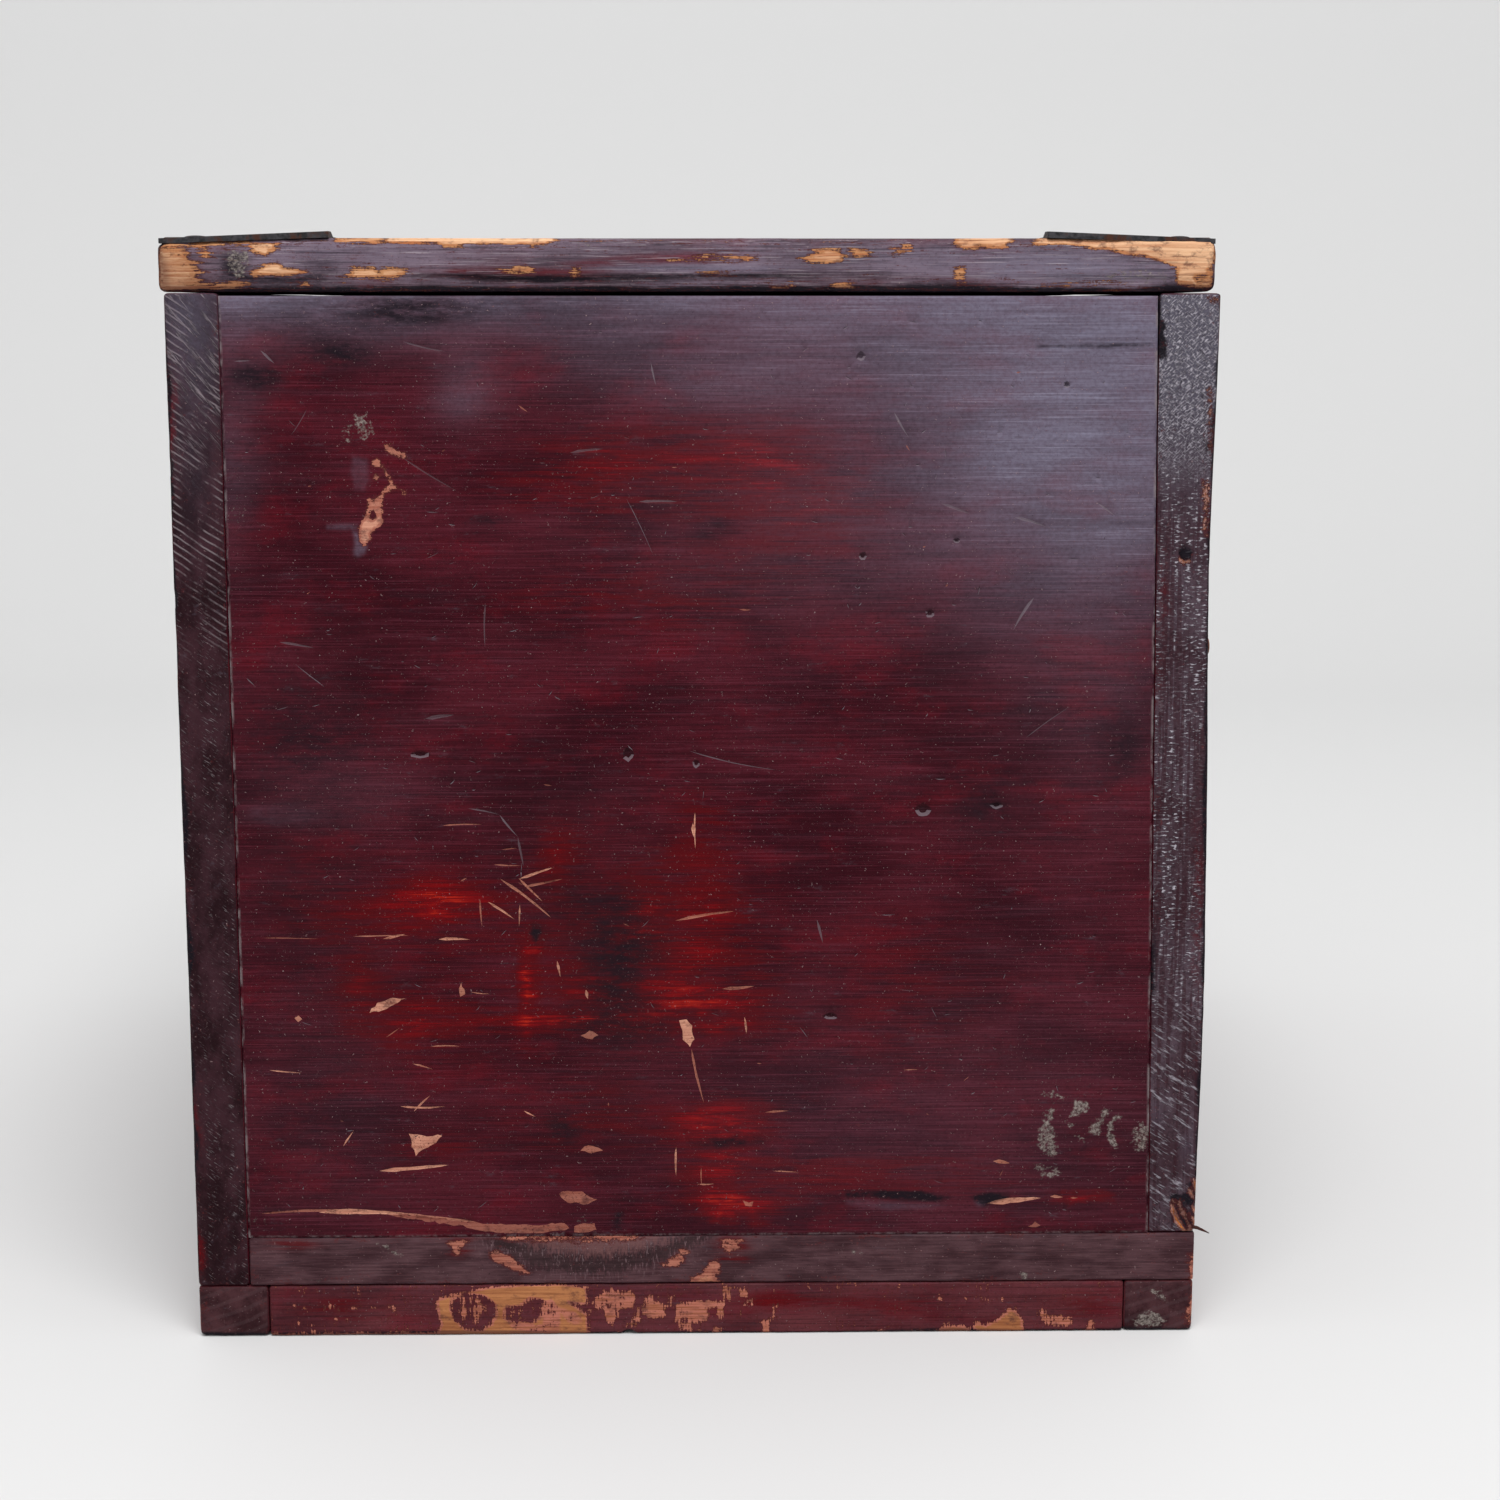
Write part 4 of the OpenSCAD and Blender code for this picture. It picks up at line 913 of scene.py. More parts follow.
def smile_end_grain(tree):
    """Growth rings that show as one dark, fuzzy bowl in the middle of the board's edge, pinkish inside."""
    brush = grain(tree, (40, 3, 0.8), detail=6)
    clouds = grain(tree, (14, 14, 6), detail=5)
    colour = mix(tree, step(tree, clouds, 0.35, 0.65), tone("#3e262b"), tone("#573c41"))
    colour = mix(tree, step(tree, brush, 0.45, 0.7, 0, 0.34), colour, tone("#2a171d"))
    hairs = grain(tree, (8, 8, 0.3), detail=3)
    colour = mix(tree, step(tree, hairs, 0.5, 0.66, 0, 0.3), colour, tone("#1d1014"))
    colour = mix(tree, step(tree, hairs, 0.48, 0.34, 0, 0.18), colour, tone("#75585c"))
    flat = ruled(tree, (1, 1000, 1), centre=SMILE_CENTRE)
    radius = add_node(tree, "ShaderNodeVectorMath", {0: flat}, operation="LENGTH").outputs["Value"]
    fuzz = grain(tree, (0.55, 0.55, 2.4), detail=3, rough=0.65)
    radius = maths(tree, "ADD", radius, step(tree, fuzz, 0.3, 0.7, -1.8, 1.8))
    inner, outer = SMILE_BAND
    colour = mix(tree, step(tree, radius, inner + 1, inner - 3, 0, 0.7), colour, tone("#73504f"))
    band = step(tree, radius, outer + 1.5, outer - 1)
    band = maths(tree, "MULTIPLY", step(tree, radius, inner - 1, inner + 1.5), band)
    colour = mix(tree, maths(tree, "MULTIPLY", band, 0.6), colour, tone("#2b2122"))
    near = step(tree, radius, outer + 9, outer, 0, 0.4)
    shown = maths(tree, "MULTIPLY", step(tree, fuzz, 0.58, 0.68), near)
    return mix(tree, shown, colour, tone("#8b7276")), brush


BOTTOM_GLOW = [(10, 24, 5, 4, 0.6), (-110, 26, 10, 2, 0.3), (-40, 27, 20, 1, 0.4), (-65, 25, 4, 3, 0.5)]
# Patches rubbed or scraped bare: how bare each is, then its corners, and a nought where lacquer is left
BOTTOM_BARE = [
    [0.95, (-56.8, 23), (-54.6, 24.2), (-51, 22.7), (-48.2, 20.6), (-46, 17.8), (-50.2, 18.4),
     (-54.2, 20.4)],
    [0.8, (-10.5, 18.8), (-7.4, 21.6), (-3.8, 24.8), (-1.6, 24), (-3.4, 20.9), (-6.6, 18.6)],
    [0.95, (-2.5, 14.3), (-0.4, 16.2), (1.8, 18.2), (3.2, 20.5), (5.9, 21), (6.4, 18.7), (5.1, 16.5),
     (5.6, 14.5)],
    [0.7, (6.4, 26.7), (12.1, 26.9), (12.1, 23.8), (9.4, 23.3), (8, 21.6), (7, 23.8)],
    [0.85, (-67.8, 26.6), (-61.9, 26.8), (-63.6, 24.3), (-64.7, 22), (-66.3, 24.3)],
    [0.42, (-53.3, 28.7), (-15.5, 28.5), (-15.5, 26.3), (-26.3, 25.8), (-42.5, 26.1), (-53.3, 26.8)],
    [0.55, (133.4, 22.5), (136.5, 22.5), (136.8, 11.6), (133.8, 11.7)],
]
BOTTOM_SCUFFS = [
    [0.5, (-87.8, 26.4), (-84.6, 26.4), (-79.8, 23.3), (-77.9, 22), (-81.4, 22), (-84.6, 24.4)],
    [0.5, (-105.9, 15.8), (-102.6, 16.6), (-98.8, 16), (-102.6, 15.2)],
    [0.8, (41.4, 23.6), (43.5, 23.6), (44.6, 22.2), (42.5, 22.2)],
    [0.9, (87.4, 17.4), (89, 17), (90.4, 15), (88.8, 14.5)],
]
RAIL_BARE = [
    [1.25, (-70.6, 10.1), (-67.9, 11), (-61.6, 12.4), (-56.2, 13.5), (-48.1, 14), (-37.2, 14.2),
     (-29.7, 13.3), (-29.8, -2.1), (-70.6, -1.8), (-69.6, 3), (-70.4, 6.7)],
    [0, (-66.5, 10.1), (-63, 11.8), (-58.4, 11.5), (-55.2, 9.2), (-54.4, 6), (-56.1, 2.9), (-58.8, 1.2),
     (-62.9, 1.5), (-65.8, 4.4), (-66.9, 7.3)],
    [0.8, (-64.4, 10.7), (-62.5, 10.9), (-62.3, 5.5), (-63.4, 3), (-64.4, 6.1)],
    [0.8, (-61.7, 10.7), (-58.7, 10.4), (-56.8, 8.1), (-58.8, 5.8), (-59.6, 2.7), (-61.2, 3.8)],
    [0.1, (-52.8, 4.9), (-51.9, 7.7), (-48.1, 8.3), (-45.4, 10.6), (-41.9, 10), (-42.5, 5.4),
     (-45.2, 3.1), (-49.6, 3.2)],
    [0.6, (-51.7, 5.5), (-50.3, 7.4), (-47.6, 7.4), (-48.2, 5.4)],
    [0.85, (-41.9, 9.4), (-39.4, 10.5), (-37.3, 6.5), (-36.8, 1.4), (-38.5, -2.1), (-41.2, -2),
     (-43.4, -0.3), (-50.4, 1.5), (-51.5, 3.2), (-45.5, 2.6), (-42.3, 3.1)],
    [0.95, (-38.4, 7.4), (-36.8, 7.9), (-33, 6.8), (-30.3, 3.6), (-33, 2.2), (-35.7, 3.6)],
    [0.2, (-35.1, 9.3), (-29.2, 8.4), (-29.2, 4.7), (-32.4, 7.6)],
    [0.1, (-30.2, 13.3), (-28, 13.3), (-28.5, -2.1), (-30.4, -2.1), (-29.2, 4.2)],
    [0.9, (-27.5, 10.1), (-25.6, 12.4), (-17.5, 12.6), (-17, 9.5), (-17.8, 7.5), (-21.3, 7),
     (-22.2, 3.5), (-23.5, 2.1), (-25.1, 4.7), (-25.9, 7.3), (-27.8, 7.9)],
    [0.85, (-16.7, 7.8), (-15.1, 8.4), (-15.4, 5.2), (-17, 2.4), (-19.2, 2.4), (-17.8, 4.7)],
    [0.95, (-14.2, 10.3), (-11.5, 10), (-9.4, 8.6), (-8.8, 5.5), (-11.3, 4.3), (-14.5, 5.2),
     (-14.8, 8.1)],
    [0.85, (-7.7, 11.2), (-6.6, 11.4), (-6.6, 8), (-8.3, 7.5)],
    [0.92, (-6.1, 8.6), (-0.9, 9.4), (7.2, 9.1), (7.7, 4.5), (5.3, 4.2), (4.5, 7.4), (2.9, 7.1),
     (2.9, 4.2), (-0.7, 3.1), (-3.7, 4.6), (-5.9, 3.7)],
    [0.6, (-5.6, 3.7), (-0.7, 3.4), (-1, 0.5), (-4.8, 0.9)],
    [0.9, (4.5, 2.2), (6.1, 2.2), (6.1, -1.8), (4.2, -1.8)],
    [0.85, (7.5, 13.1), (9.1, 13), (9.1, 9.6), (7.2, 9.1)],
    [0.8, (11, 12.7), (13.5, 12.7), (13.2, 10.4), (11.3, 10.5)],
    [0.8, (13.7, 10.7), (15.4, 10.7), (14.8, 8.2), (13.5, 7.9)],
    [0.75, (11.8, 8.2), (12.9, 8.2), (12.6, 5.3), (11.6, 5.6)],
    [0.9, (17.5, 3.3), (19.4, 3.8), (19.7, -1.3), (17.8, -1.3)],
    [0.75, (20.3, 7.8), (21.6, 8.1), (21.1, 4.4), (19.7, 3.8)],
    [0.75, (-116, 0.7), (-69.9, 0.9), (-69.9, -3), (-116, -3)],
    [1.1, (78.3, 1.7), (81.3, 3.4), (83.5, 5.4), (85, 6.5), (87.3, 5.7), (88.7, 3.4), (89, -2.4),
     (79.8, -2.3), (74.8, 1.5), (75.9, 2.9)],
    [0.9, (65.5, 0.7), (67.7, 2.4), (71, 2), (74.2, 1.7), (74.3, -2.3), (65.6, -2.2)],
    [0.75, (92.5, 5.6), (93.8, 6.8), (96, 4.5), (98.8, 5), (102, 4.4), (101.5, 2), (97.5, 1),
     (94.5, 1.6)],
    [0.85, (105.9, 2.4), (107, 3.2), (108.6, 2.7), (108.2, -0.8), (106, -0.8)],
    [0.85, (-83.9, 8.5), (-82.2, 9), (-81.2, 7.9), (-82.6, 6.5)],
]
# Rows of small flecks on the rail: x and z
FLECK_PLACES = [
    (-109, 8.6), (-106.5, 8.3), (-99.5, 8.6), (-93.5, 8.3), (-88, 8), (-108, 4), (-105, 3.2),
    (-98, 4.6), (-95, 4.4), (-104.5, 1.3), (62.7, 9.3), (66, 9.8), (70, 9.2), (73, 9.7), (78.4, 9.2),
    (83, 9.3),
]
RAIL_FLECKS = [(x, z, 0.7, 0.55, 0.95) for x, z in FLECK_PLACES]
RAIL_GLOW = [(-95, 8, 16, 4, 0.35), (20, 9, 10, 3, 0.4), (50, 8, 30, 4, 0.25), (105, 8, 10, 5, 0.3)]
RUNNER_SCUFFS = [
    [0.85, (122.9, 11.7), (124.8, 12.6), (126.2, 10.6), (127.9, 9.4), (127.9, 7.7), (125.4, 9.7)],
    [0.75, (117.9, 2.6), (120.6, 4.9), (123.3, 6), (126, 4.8), (128.3, 3), (126.2, 1.4), (120.2, 0.9)],
]
# Painted contact shadow along the foot, where the box stands on the floor
FOOT_CONTACT_SHADOW = [(0, -0.3, 300, 1, 2.5)]
RAIL_NOTCH = [(-18.8, Y_BACK - 1, -0.8, 2.6), (-18.2, Y_BACK + 1, -1, 2.2)]
BASE_TONES = {"deep": "#4a2026", "red": "#643136", "dusk": "#3c272c"}
worn_board("bottom_board", lacquer("bottom_lacquer", X_AXIS, "#3d242b", "#573d43", ends=smile_end_grain),
           (1.6, 14, 1.0), 0.9, 5, 0.22, Y_AXIS,
           layers={"worn": at_back([], BOTTOM_BARE), "glow": at_back(BOTTOM_GLOW),
                   "crust_and_glint": at_back([], BOTTOM_SCUFFS)})
rail_finish = lacquer("rail_lacquer", X_AXIS, **BASE_TONES, salmon="#ba7262", pale="#bb7d52",
                      dark="#824a30", hatch=True)
worn_board("base_rail_rear", rail_finish, (0.9, 6, 0.8), 1.0, 6, 0.22, bites=RAIL_NOTCH,
           layers={"worn": at_back(RAIL_FLECKS, RAIL_BARE, 0.3), "glow": at_back(RAIL_GLOW),
                   "grime_and_shade": at_back(FOOT_CONTACT_SHADOW)})
worn_board("base_rail_front", rail_finish, (6, 6, 3), 1.0, 7, 0.5)


def plain_end_grain(tree):
    """Sawn ends of the base runners."""
    lines = rings(tree, 3.2, (0, math.radians(20), 0), stray=2.0)
    clouds = grain(tree, (7, 7, 7), detail=6, rough=0.7)
    colour = mix(tree, step(tree, clouds, 0.35, 0.65), tone("#30191d"), tone("#4a2d31"))
    return mix(tree, step(tree, lines, 0.6, 0.95, 0, 0.08), colour, tone("#7a6468")), clouds


runner_finish = lacquer("runner_lacquer", Y_AXIS, **BASE_TONES, ends=plain_end_grain)
RUNNER_WEAR = [(-134, 8, 2, 6, 0.2), (135, 10, 1.4, 6, 0.5), (134.5, 4, 2, 3, 0.45)]
for node, seed in (("base_runner_left", 8), ("base_runner_right", 9)):
    worn_board(node, runner_finish, (1.6, 14, 1.2), 1.2, seed, 0.15, Y_AXIS,
               layers={"crust_and_glint": at_back([], RUNNER_SCUFFS), "worn": at_back(RUNNER_WEAR),
                       "grime_and_shade": at_back(FOOT_CONTACT_SHADOW)})

# Rear top board.
# A fixed board that covers the back of the box, its long edge rounded by hands and rubbed to the wood.
# The lacquer on that edge has greyed, with painted highlights on its ridges and a painted shade band under
# its rounded lower arris, and a long crack runs along it.

TOP_BARE = [
    [0.62, (-135.6, 292.9), (-111.9, 293.7), (-112.5, 291.4), (-118.8, 290.9), (-135.7, 291.2)],
    [0.98, (-136.2, 291.7), (-130.2, 290.9), (-127.4, 289.4), (-129.2, 288.4), (-125.2, 287),
     (-127, 286), (-123.3, 284.7), (-126.6, 283.7), (-125.1, 282.5), (-128.2, 281.7), (-121.6, 281.5),
     (-112.8, 281.5), (-113.3, 280.2), (-136.6, 279.5)],
    [0.95, (-125.6, 290.4), (-122.8, 290.4), (-122.4, 288.7), (-123.9, 288.2), (-125.2, 288.9)],
    [1.15, (-112.7, 291.9), (-109.4, 292.7), (-105.6, 292.2), (-106.2, 290.2), (-108.7, 288.7),
     (-112, 289.7)],
    [1.15, (-112.7, 284.5), (-110.6, 285.5), (-108.8, 286.7), (-105.5, 287), (-103.8, 285.5),
     (-100.8, 285.2), (-98.2, 284.5), (-100, 283.7), (-105.1, 283.5), (-109.7, 283.5), (-112.2, 283.2)],
    [1.05, (-89.2, 283.2), (-86.8, 284.7), (-86.8, 285.7), (-84.3, 285.5), (-81.7, 286), (-80.2, 284.7),
     (-77.7, 285.5), (-75.2, 285.7), (-71.9, 285.2), (-74.4, 283.2), (-82.3, 283)],
    [0.9, (-99.3, 281.7), (-97.8, 281.7), (-97.8, 280.5), (-99.6, 280.5)],
    [0.85, (-91.4, 293.7), (-78.5, 294.2), (-78.6, 292.2), (-81.6, 291.7), (-84.6, 292.2),
     (-90.7, 292.2)],
    [1.2, (-78, 293.9), (-64.3, 294.7), (-33.9, 295), (-35, 293.2), (-37.8, 291.7), (-41.6, 291.2),
     (-43.1, 291.7), (-49.2, 291.7), (-54.8, 291.5), (-57.8, 291.7), (-59.3, 291), (-64.4, 291.2),
     (-64.4, 292), (-74.5, 292), (-77.5, 292.2)],
    [0.6, (-33.9, 295), (34.6, 295.2), (34.6, 293.7), (-34, 293.5)],
    [0.95, (-50.6, 285), (-46.8, 285), (-45, 286.2), (-42.2, 286.2), (-39.9, 285), (-41.2, 284),
     (-47.3, 284)],
    [0.9, (-31.3, 285.7), (-29, 286), (-28.5, 283.7), (-30.5, 283), (-31.8, 284.2)],
    [1.15, (25.5, 287.7), (29, 288.2), (30.1, 289.2), (34.1, 290.2), (37.4, 289.7), (38.7, 288.7),
     (37.2, 286.7), (33.4, 286.7), (29.6, 287.2)],
    [0.9, (39.2, 290.5), (41.8, 290.5), (44.6, 289.8), (45.6, 288.5), (42.3, 288), (40, 288.7)],
    [0.9, (49.2, 289.5), (52, 290), (53.2, 291.5), (55.8, 292), (55.8, 290), (52.5, 289), (49.7, 288.5)],
    [1.15, (66.5, 292.5), (67.9, 295), (81.7, 295), (81, 292.5), (79.5, 291), (78, 290.5),
     (75.9, 290.8), (72.8, 291), (69.8, 290.3), (67.7, 290.8)],
    [1.2, (86.1, 292.3), (90.1, 294.5), (97.8, 295), (133.5, 295), (133.8, 287), (130.3, 283.8),
     (128.2, 283.3), (127.2, 281.5), (124.2, 281.2), (122.9, 283), (123.8, 285), (120.2, 286.8),
     (115.8, 288.3), (108.6, 289.3), (103.5, 290.3), (97.9, 291.3), (93.2, 291.8), (88.1, 291.5)],
    [0.9, (127.2, 282), (130.3, 283.8), (133.3, 285.5), (132.9, 280.2), (126.8, 280.2)],
    [0.95, (66.5, 285.5), (68.3, 286.3), (69.4, 284.5), (69.1, 282), (67.4, 281.2), (66.1, 283)],
    [0.9, (19.1, 281), (25.2, 281.5), (24.7, 280), (19.4, 279.7)],
    [0.85, (34.7, 281), (37.7, 282), (41.3, 281.2), (39.8, 280), (35.2, 280)],
    [0.5, (-6.8, 288.5), (6.6, 289.2), (16.8, 289), (16.8, 287.2), (6.6, 286.7), (-6.8, 286.7)],
    [0.75, (1, 284.5), (9.7, 284.7), (9.7, 283.7), (1, 283.5)],
    [0.5, (88.3, 281.2), (111.4, 281.7), (111.4, 280.7), (88.3, 280.5)],
]
# Torn knots, rough and grey, and as the second patch a painted glint of light on rippled grain
TOP_KNOTS_AND_GLINT = [
    [0.6, (-119.6, 290.2), (-112.5, 290.2), (-112.6, 287), (-113.5, 283.2), (-116.3, 282.7),
     (-118, 285), (-118.9, 288)],
    [0.4, (103.6, 284.3), (111.3, 285.8), (120.5, 285.3), (121.6, 283), (116.5, 281.2), (105.7, 281.5)],
    [0.35, (-30.2, 292.5), (-27.6, 292.7), (-22.8, 291), (-23.8, 290), (-28.9, 290.5)],
]
# Greyed lacquer on the edge, with painted highlights along its narrow ridges
TOP_EDGE_BLOOM_AND_HIGHLIGHTS = [
    (20, 289, 110, 6, 0.45), (-95, 289, 30, 6, 0.35), (92, 285, 40, 6, 0.65),
    (1.5, 285.5, 24.3, 0.8, 0.6), (-49.3, 282.2, 24.3, 0.8, 0.6), (-3.6, 282.2, 16.2, 0.8, 0.5),
]
# A painted shade band under the rounded lower arris, dark lines along the crack, and soiled ends and knot
TOP_EDGE_SHADE_AND_GRIME = [
    (0, 279.3, 150, 1.3, 2.2), (0, 281.8, 150, 1.6, 0.2), (-137, 286, 3, 12, 1.2),
    (-129, 285, 9, 9, 0.55), (135, 284, 2.4, 12, 0.9), (-116.2, 286.5, 3.8, 3.8, 0.9),
    (-43, 283.6, 29.7, 0.6, 1.3), (11.7, 283.7, 29.7, 0.6, 1), (-94.9, 286.2, 8.1, 3.2, 0.5),
    (-105.1, 282.5, 16.2, 1.4, 0.7), (124.2, 280.7, 8.1, 1.1, 1),
]
TOP_EDGE_GLOW = [
    (-49.3, 284.5, 24.3, 1.4, 0.6), (-1, 288, 13.5, 1.4, 0.55), (-18.8, 287, 16.2, 1.1, 0.35),
    (65.3, 281.5, 24.3, 1.1, 0.4), (111.2, 289.8, 6.8, 0.8, 0.5),
]
TOP_EDGE_BITES = [(-78.1, Y_BACK - 0.6, 294.2, 2.4), (-131, Y_BACK - 2, 293.6, 3)]
CRACK_Z = 282.9
SUNK_FROM = -92


def soot_above(p):
    """The upper faces are darker than the edge that hands have rubbed."""
    return 0.42 * min(max((p[1] - Y_BACK - 2) / 12, 0), 1)


def red_above(p):
    """On the upper faces the red ground shows through the thin lacquer."""
    return 0.6 * soot_above(p)


def crack_top_board(p, at):
    """A crack along the lower part of the back edge, and a left end that has sunk under its hinge leaf."""
    if p[1] == Y_BACK:
        along = min(max((p[0] + 80) / 20, 0), 1)
        line = CRACK_Z + 0.8 * noise.noise(Vector((p[0] * 0.02, 0, 0)))
        at.y += along * (0.7 * math.exp(-((p[2] - line) / 0.5) ** 2) + 0.25 * (p[2] < line))
    sunk = min(max((SUNK_FROM - p[0]) / 44, 0), 1) * min(max((Y_BACK + 50 - p[1]) / 50, 0), 1)
    at.z -= 0.9 * sunk * (p[2] > CRACK_Z) * (p[2] - CRACK_Z) / 10
    return at


top_finish = lacquer("top_lacquer", X_AXIS, "#544049", "#7a6775", "#2b2128", "#66343d", salmon="#c18a60",
                     pale="#f0c29a", dark="#ad6a46", streak=(26, 1.0), streaks=0.8, hair="#96868f",
                     scratched=0.5, relief=(0.8, 0.5), tear=(8, 0.5), tears=0.45)
worn_board("rear_top_board", top_finish, (1.5, 9, 0.8), 2.4, 10, 0.2,
           bites=TOP_EDGE_BITES,
           layers={"worn": at_back([], TOP_BARE), "crust_and_glint": at_back([], TOP_KNOTS_AND_GLINT),
                   "bloom_and_sheen": at_back(TOP_EDGE_BLOOM_AND_HIGHLIGHTS),
                   "grime_and_shade": lambda p: at_back(TOP_EDGE_SHADE_AND_GRIME)(p) + soot_above(p),
                   "glow": lambda p: at_back(TOP_EDGE_GLOW)(p) + red_above(p)},
           reshape=crack_top_board)

# Boards inside the case.
# Unlacquered softwood, planed by hand and browned by age, housed between the walls and pegged from outside.
# Only the front of the upper compartment shows on the closed box, and it is lacquered like the drawers.


def old_softwood(name, axis, pale="#b78a5d", dark="#835836"):
    """Planed wood that was never lacquered: fibres, dark stains and hand-worn edges."""
    material, tree, shader = new_finish(name)
    wood, fibres = bare_wood(tree, axis, pale, dark)
    stains = grain(tree, (45, 45, 45), detail=6, rough=0.7)
    colour = mix(tree, step(tree, stains, 0.5, 0.72, 0, 0.6), wood, tone("#4d3524"))
    rubbed = step(tree, painted(tree, "worn"), 0.1, 0.5, 0, 0.45)
    colour = mix(tree, rubbed, colour, tone("#6b4a31"))
    brushed = mix(tree, step(tree, fibres, 0.35, 0.65), tone("#571a25"), tone("#2b0a12"))
    colour = mix(tree, step(tree, painted(tree, "lacquered"), 0.4, 0.6), colour, brushed)
    dress(tree, shader, colour, step(tree, fibres, 0.3, 0.7, 0.6, 0.8), fibres, 0.35, 0.3)
    return material


wood_across = old_softwood("softwood_across", X_AXIS)
wood_deep = old_softwood("softwood_deep", Y_AXIS)
front_finish = lacquer("front_lacquer", X_AXIS)


def used_front(node, seed, bail=None):
    """A lacquered front: greyed in places, red where it is thin, and bruised where a bail strikes it."""
    low, high = span(node)
    face = (low[0], high[0]), (low[2], high[2])
    spots = {"bloom_and_sheen": scattered(seed, *face, 6, 36, 7, 0.4),
             "glow": scattered(seed + 1, *face, 7, 16, 4, 0.6),
             "grime_and_shade": scattered(seed + 2, *face, 5, 30, 10, 0.55),
             "worn": scattered(seed + 3, *face, 12, 2.4, 1.3, 0.9)}
    if bail:
        bail_low, bail_high = span(bail)
        struck = (bail_low[0] + 16, bail_high[0] - 16)
        spots["worn"] += [(x, bail_low[2] + 1, 4, 1.4, 0.7) for x in struck]
        spots["grime_and_shade"].append((0, bail_low[2] + 8, 40, 14, 0.35))

    def on_front(marks):
        return lambda p: spots_at(p, marks, 3.0) if p[1] > high[1] - 4 else 0.0

    worn_board(node, front_finish, (2.4, 4, 2.4), 1.3, seed, 0.5,
               layers={name: on_front(marks) for name, marks in spots.items()})


used_front("compartment_front", 11)
for node, seed in (("compartment_floor", 12), ("drawer_divider", 13)):
    front_edge = span(node)[1][1]
    worn_board(node, wood_across, (12, 12, 3), 0.6, seed,
               layers={"lacquered": lambda p: 1.0 * (p[1] > front_edge - 1)})
for node, seed in (("till_ledge_left", 14), ("till_ledge_right", 15)):
    worn_board(node, wood_deep, (4, 14, 4), 0.6, seed)

# Drawers.
# Two drawers one above the other, with lacquered fronts and plain softwood sides, backs and bottoms.
# The sides lap into the fronts, and the bottoms are pegged up under them.

for drawer, seed in (("upper_drawer", 20), ("lower_drawer", 30)):
    front_low, _ = span(drawer + "_front")
    used_front(drawer + "_front", seed, drawer.replace("drawer", "pull") + "_bail")
    worn_board(drawer + "_back", wood_across, (14, 4, 8), 0.6, seed + 1)
    worn_board(drawer + "_bottom", wood_across, (14, 14, 3), 0.6, seed + 2)
    for side in ("_left", "_right"):
        seed += 3
        _, side_high = span(drawer + side)
        side_high[1] = front_low[1] + 0.5
        worn_board(drawer + side, wood_deep, (4, 14, 8), 0.6, seed, high=side_high)

# Till.
# A shallow tray of thin softwood that slides along the ledges under the lid, with one divider.
# Its bottom runs right under the four sides, which are butted and glued on it.

TILL_BOARDS = {"bottom": wood_across, "front": wood_across, "back": wood_across,
               "left": wood_deep, "right": wood_deep, "divider": wood_deep}
for seed, (board, finish) in enumerate(TILL_BOARDS.items(), 40):
    worn_board("till_" + board, finish, (10, 10, 6), 0.6, seed)

# Lid.
# One lacquered board that swings up and back on the strap hinges.
# Two cleats across its underside keep it flat.

worn_board("lid_board", top_finish, (6, 8, 2), 2.4, 50, 0.5,
           layers={"grime_and_shade": soot_above, "glow": red_above})
for node, seed in (("lid_cleat_left", 51), ("lid_cleat_right", 52)):
    worn_board(node, wood_deep, (5, 12, 3), 0.9, seed)

# Hinges and pulls.
# Strap hinges are cut from sheet iron and drawer pulls are forged from iron wire, all blackened.
# The frame's shapes stay and get their iron finish, and only the rear leaves are replaced, by bent copies.


def black_iron(name):
    """Forged iron: dark scale, rust in patches, and hammer marks."""
    material, tree, shader = new_finish(name)
    hammered = grain(tree, (7, 7, 7), detail=3)
    scale = grain(tree, (1.6, 1.6, 1.6), detail=6, rough=0.7)
    rust = step(tree, maths(tree, "ADD", hammered, maths(tree, "MULTIPLY", scale, 0.6)), 0.79, 0.93)
    colour = mix(tree, step(tree, scale, 0.35, 0.65), tone("#1b1a1c"), tone("#48464a"))
    colour = mix(tree, rust, colour, mix(tree, scale, tone("#5a2f1c"), tone("#33201a")))
    shader.inputs["Metallic"].default_value = 0.55
    height = maths(tree, "ADD", hammered, maths(tree, "MULTIPLY", scale, 0.3))
    dress(tree, shader, colour, step(tree, scale, 0.3, 0.7, 0.45, 0.7), height, 0.5, 0.4)
    return material


iron = black_iron("blackened_iron")
HINGE_PARTS, PULL_PARTS = ("rear_leaf", "lid_leaf", "pin"), ("posts", "bail")
iron_nodes = [f"hinge_{side}_{part}" for side in ("left", "right") for part in HINGE_PARTS]
iron_nodes += [f"{drawer}_pull_{part}" for drawer in ("upper", "lower") for part in PULL_PARTS]
for node in iron_nodes:
    for material_slot in frame["nodes"][node].material_slots:
        material_slot.material = iron
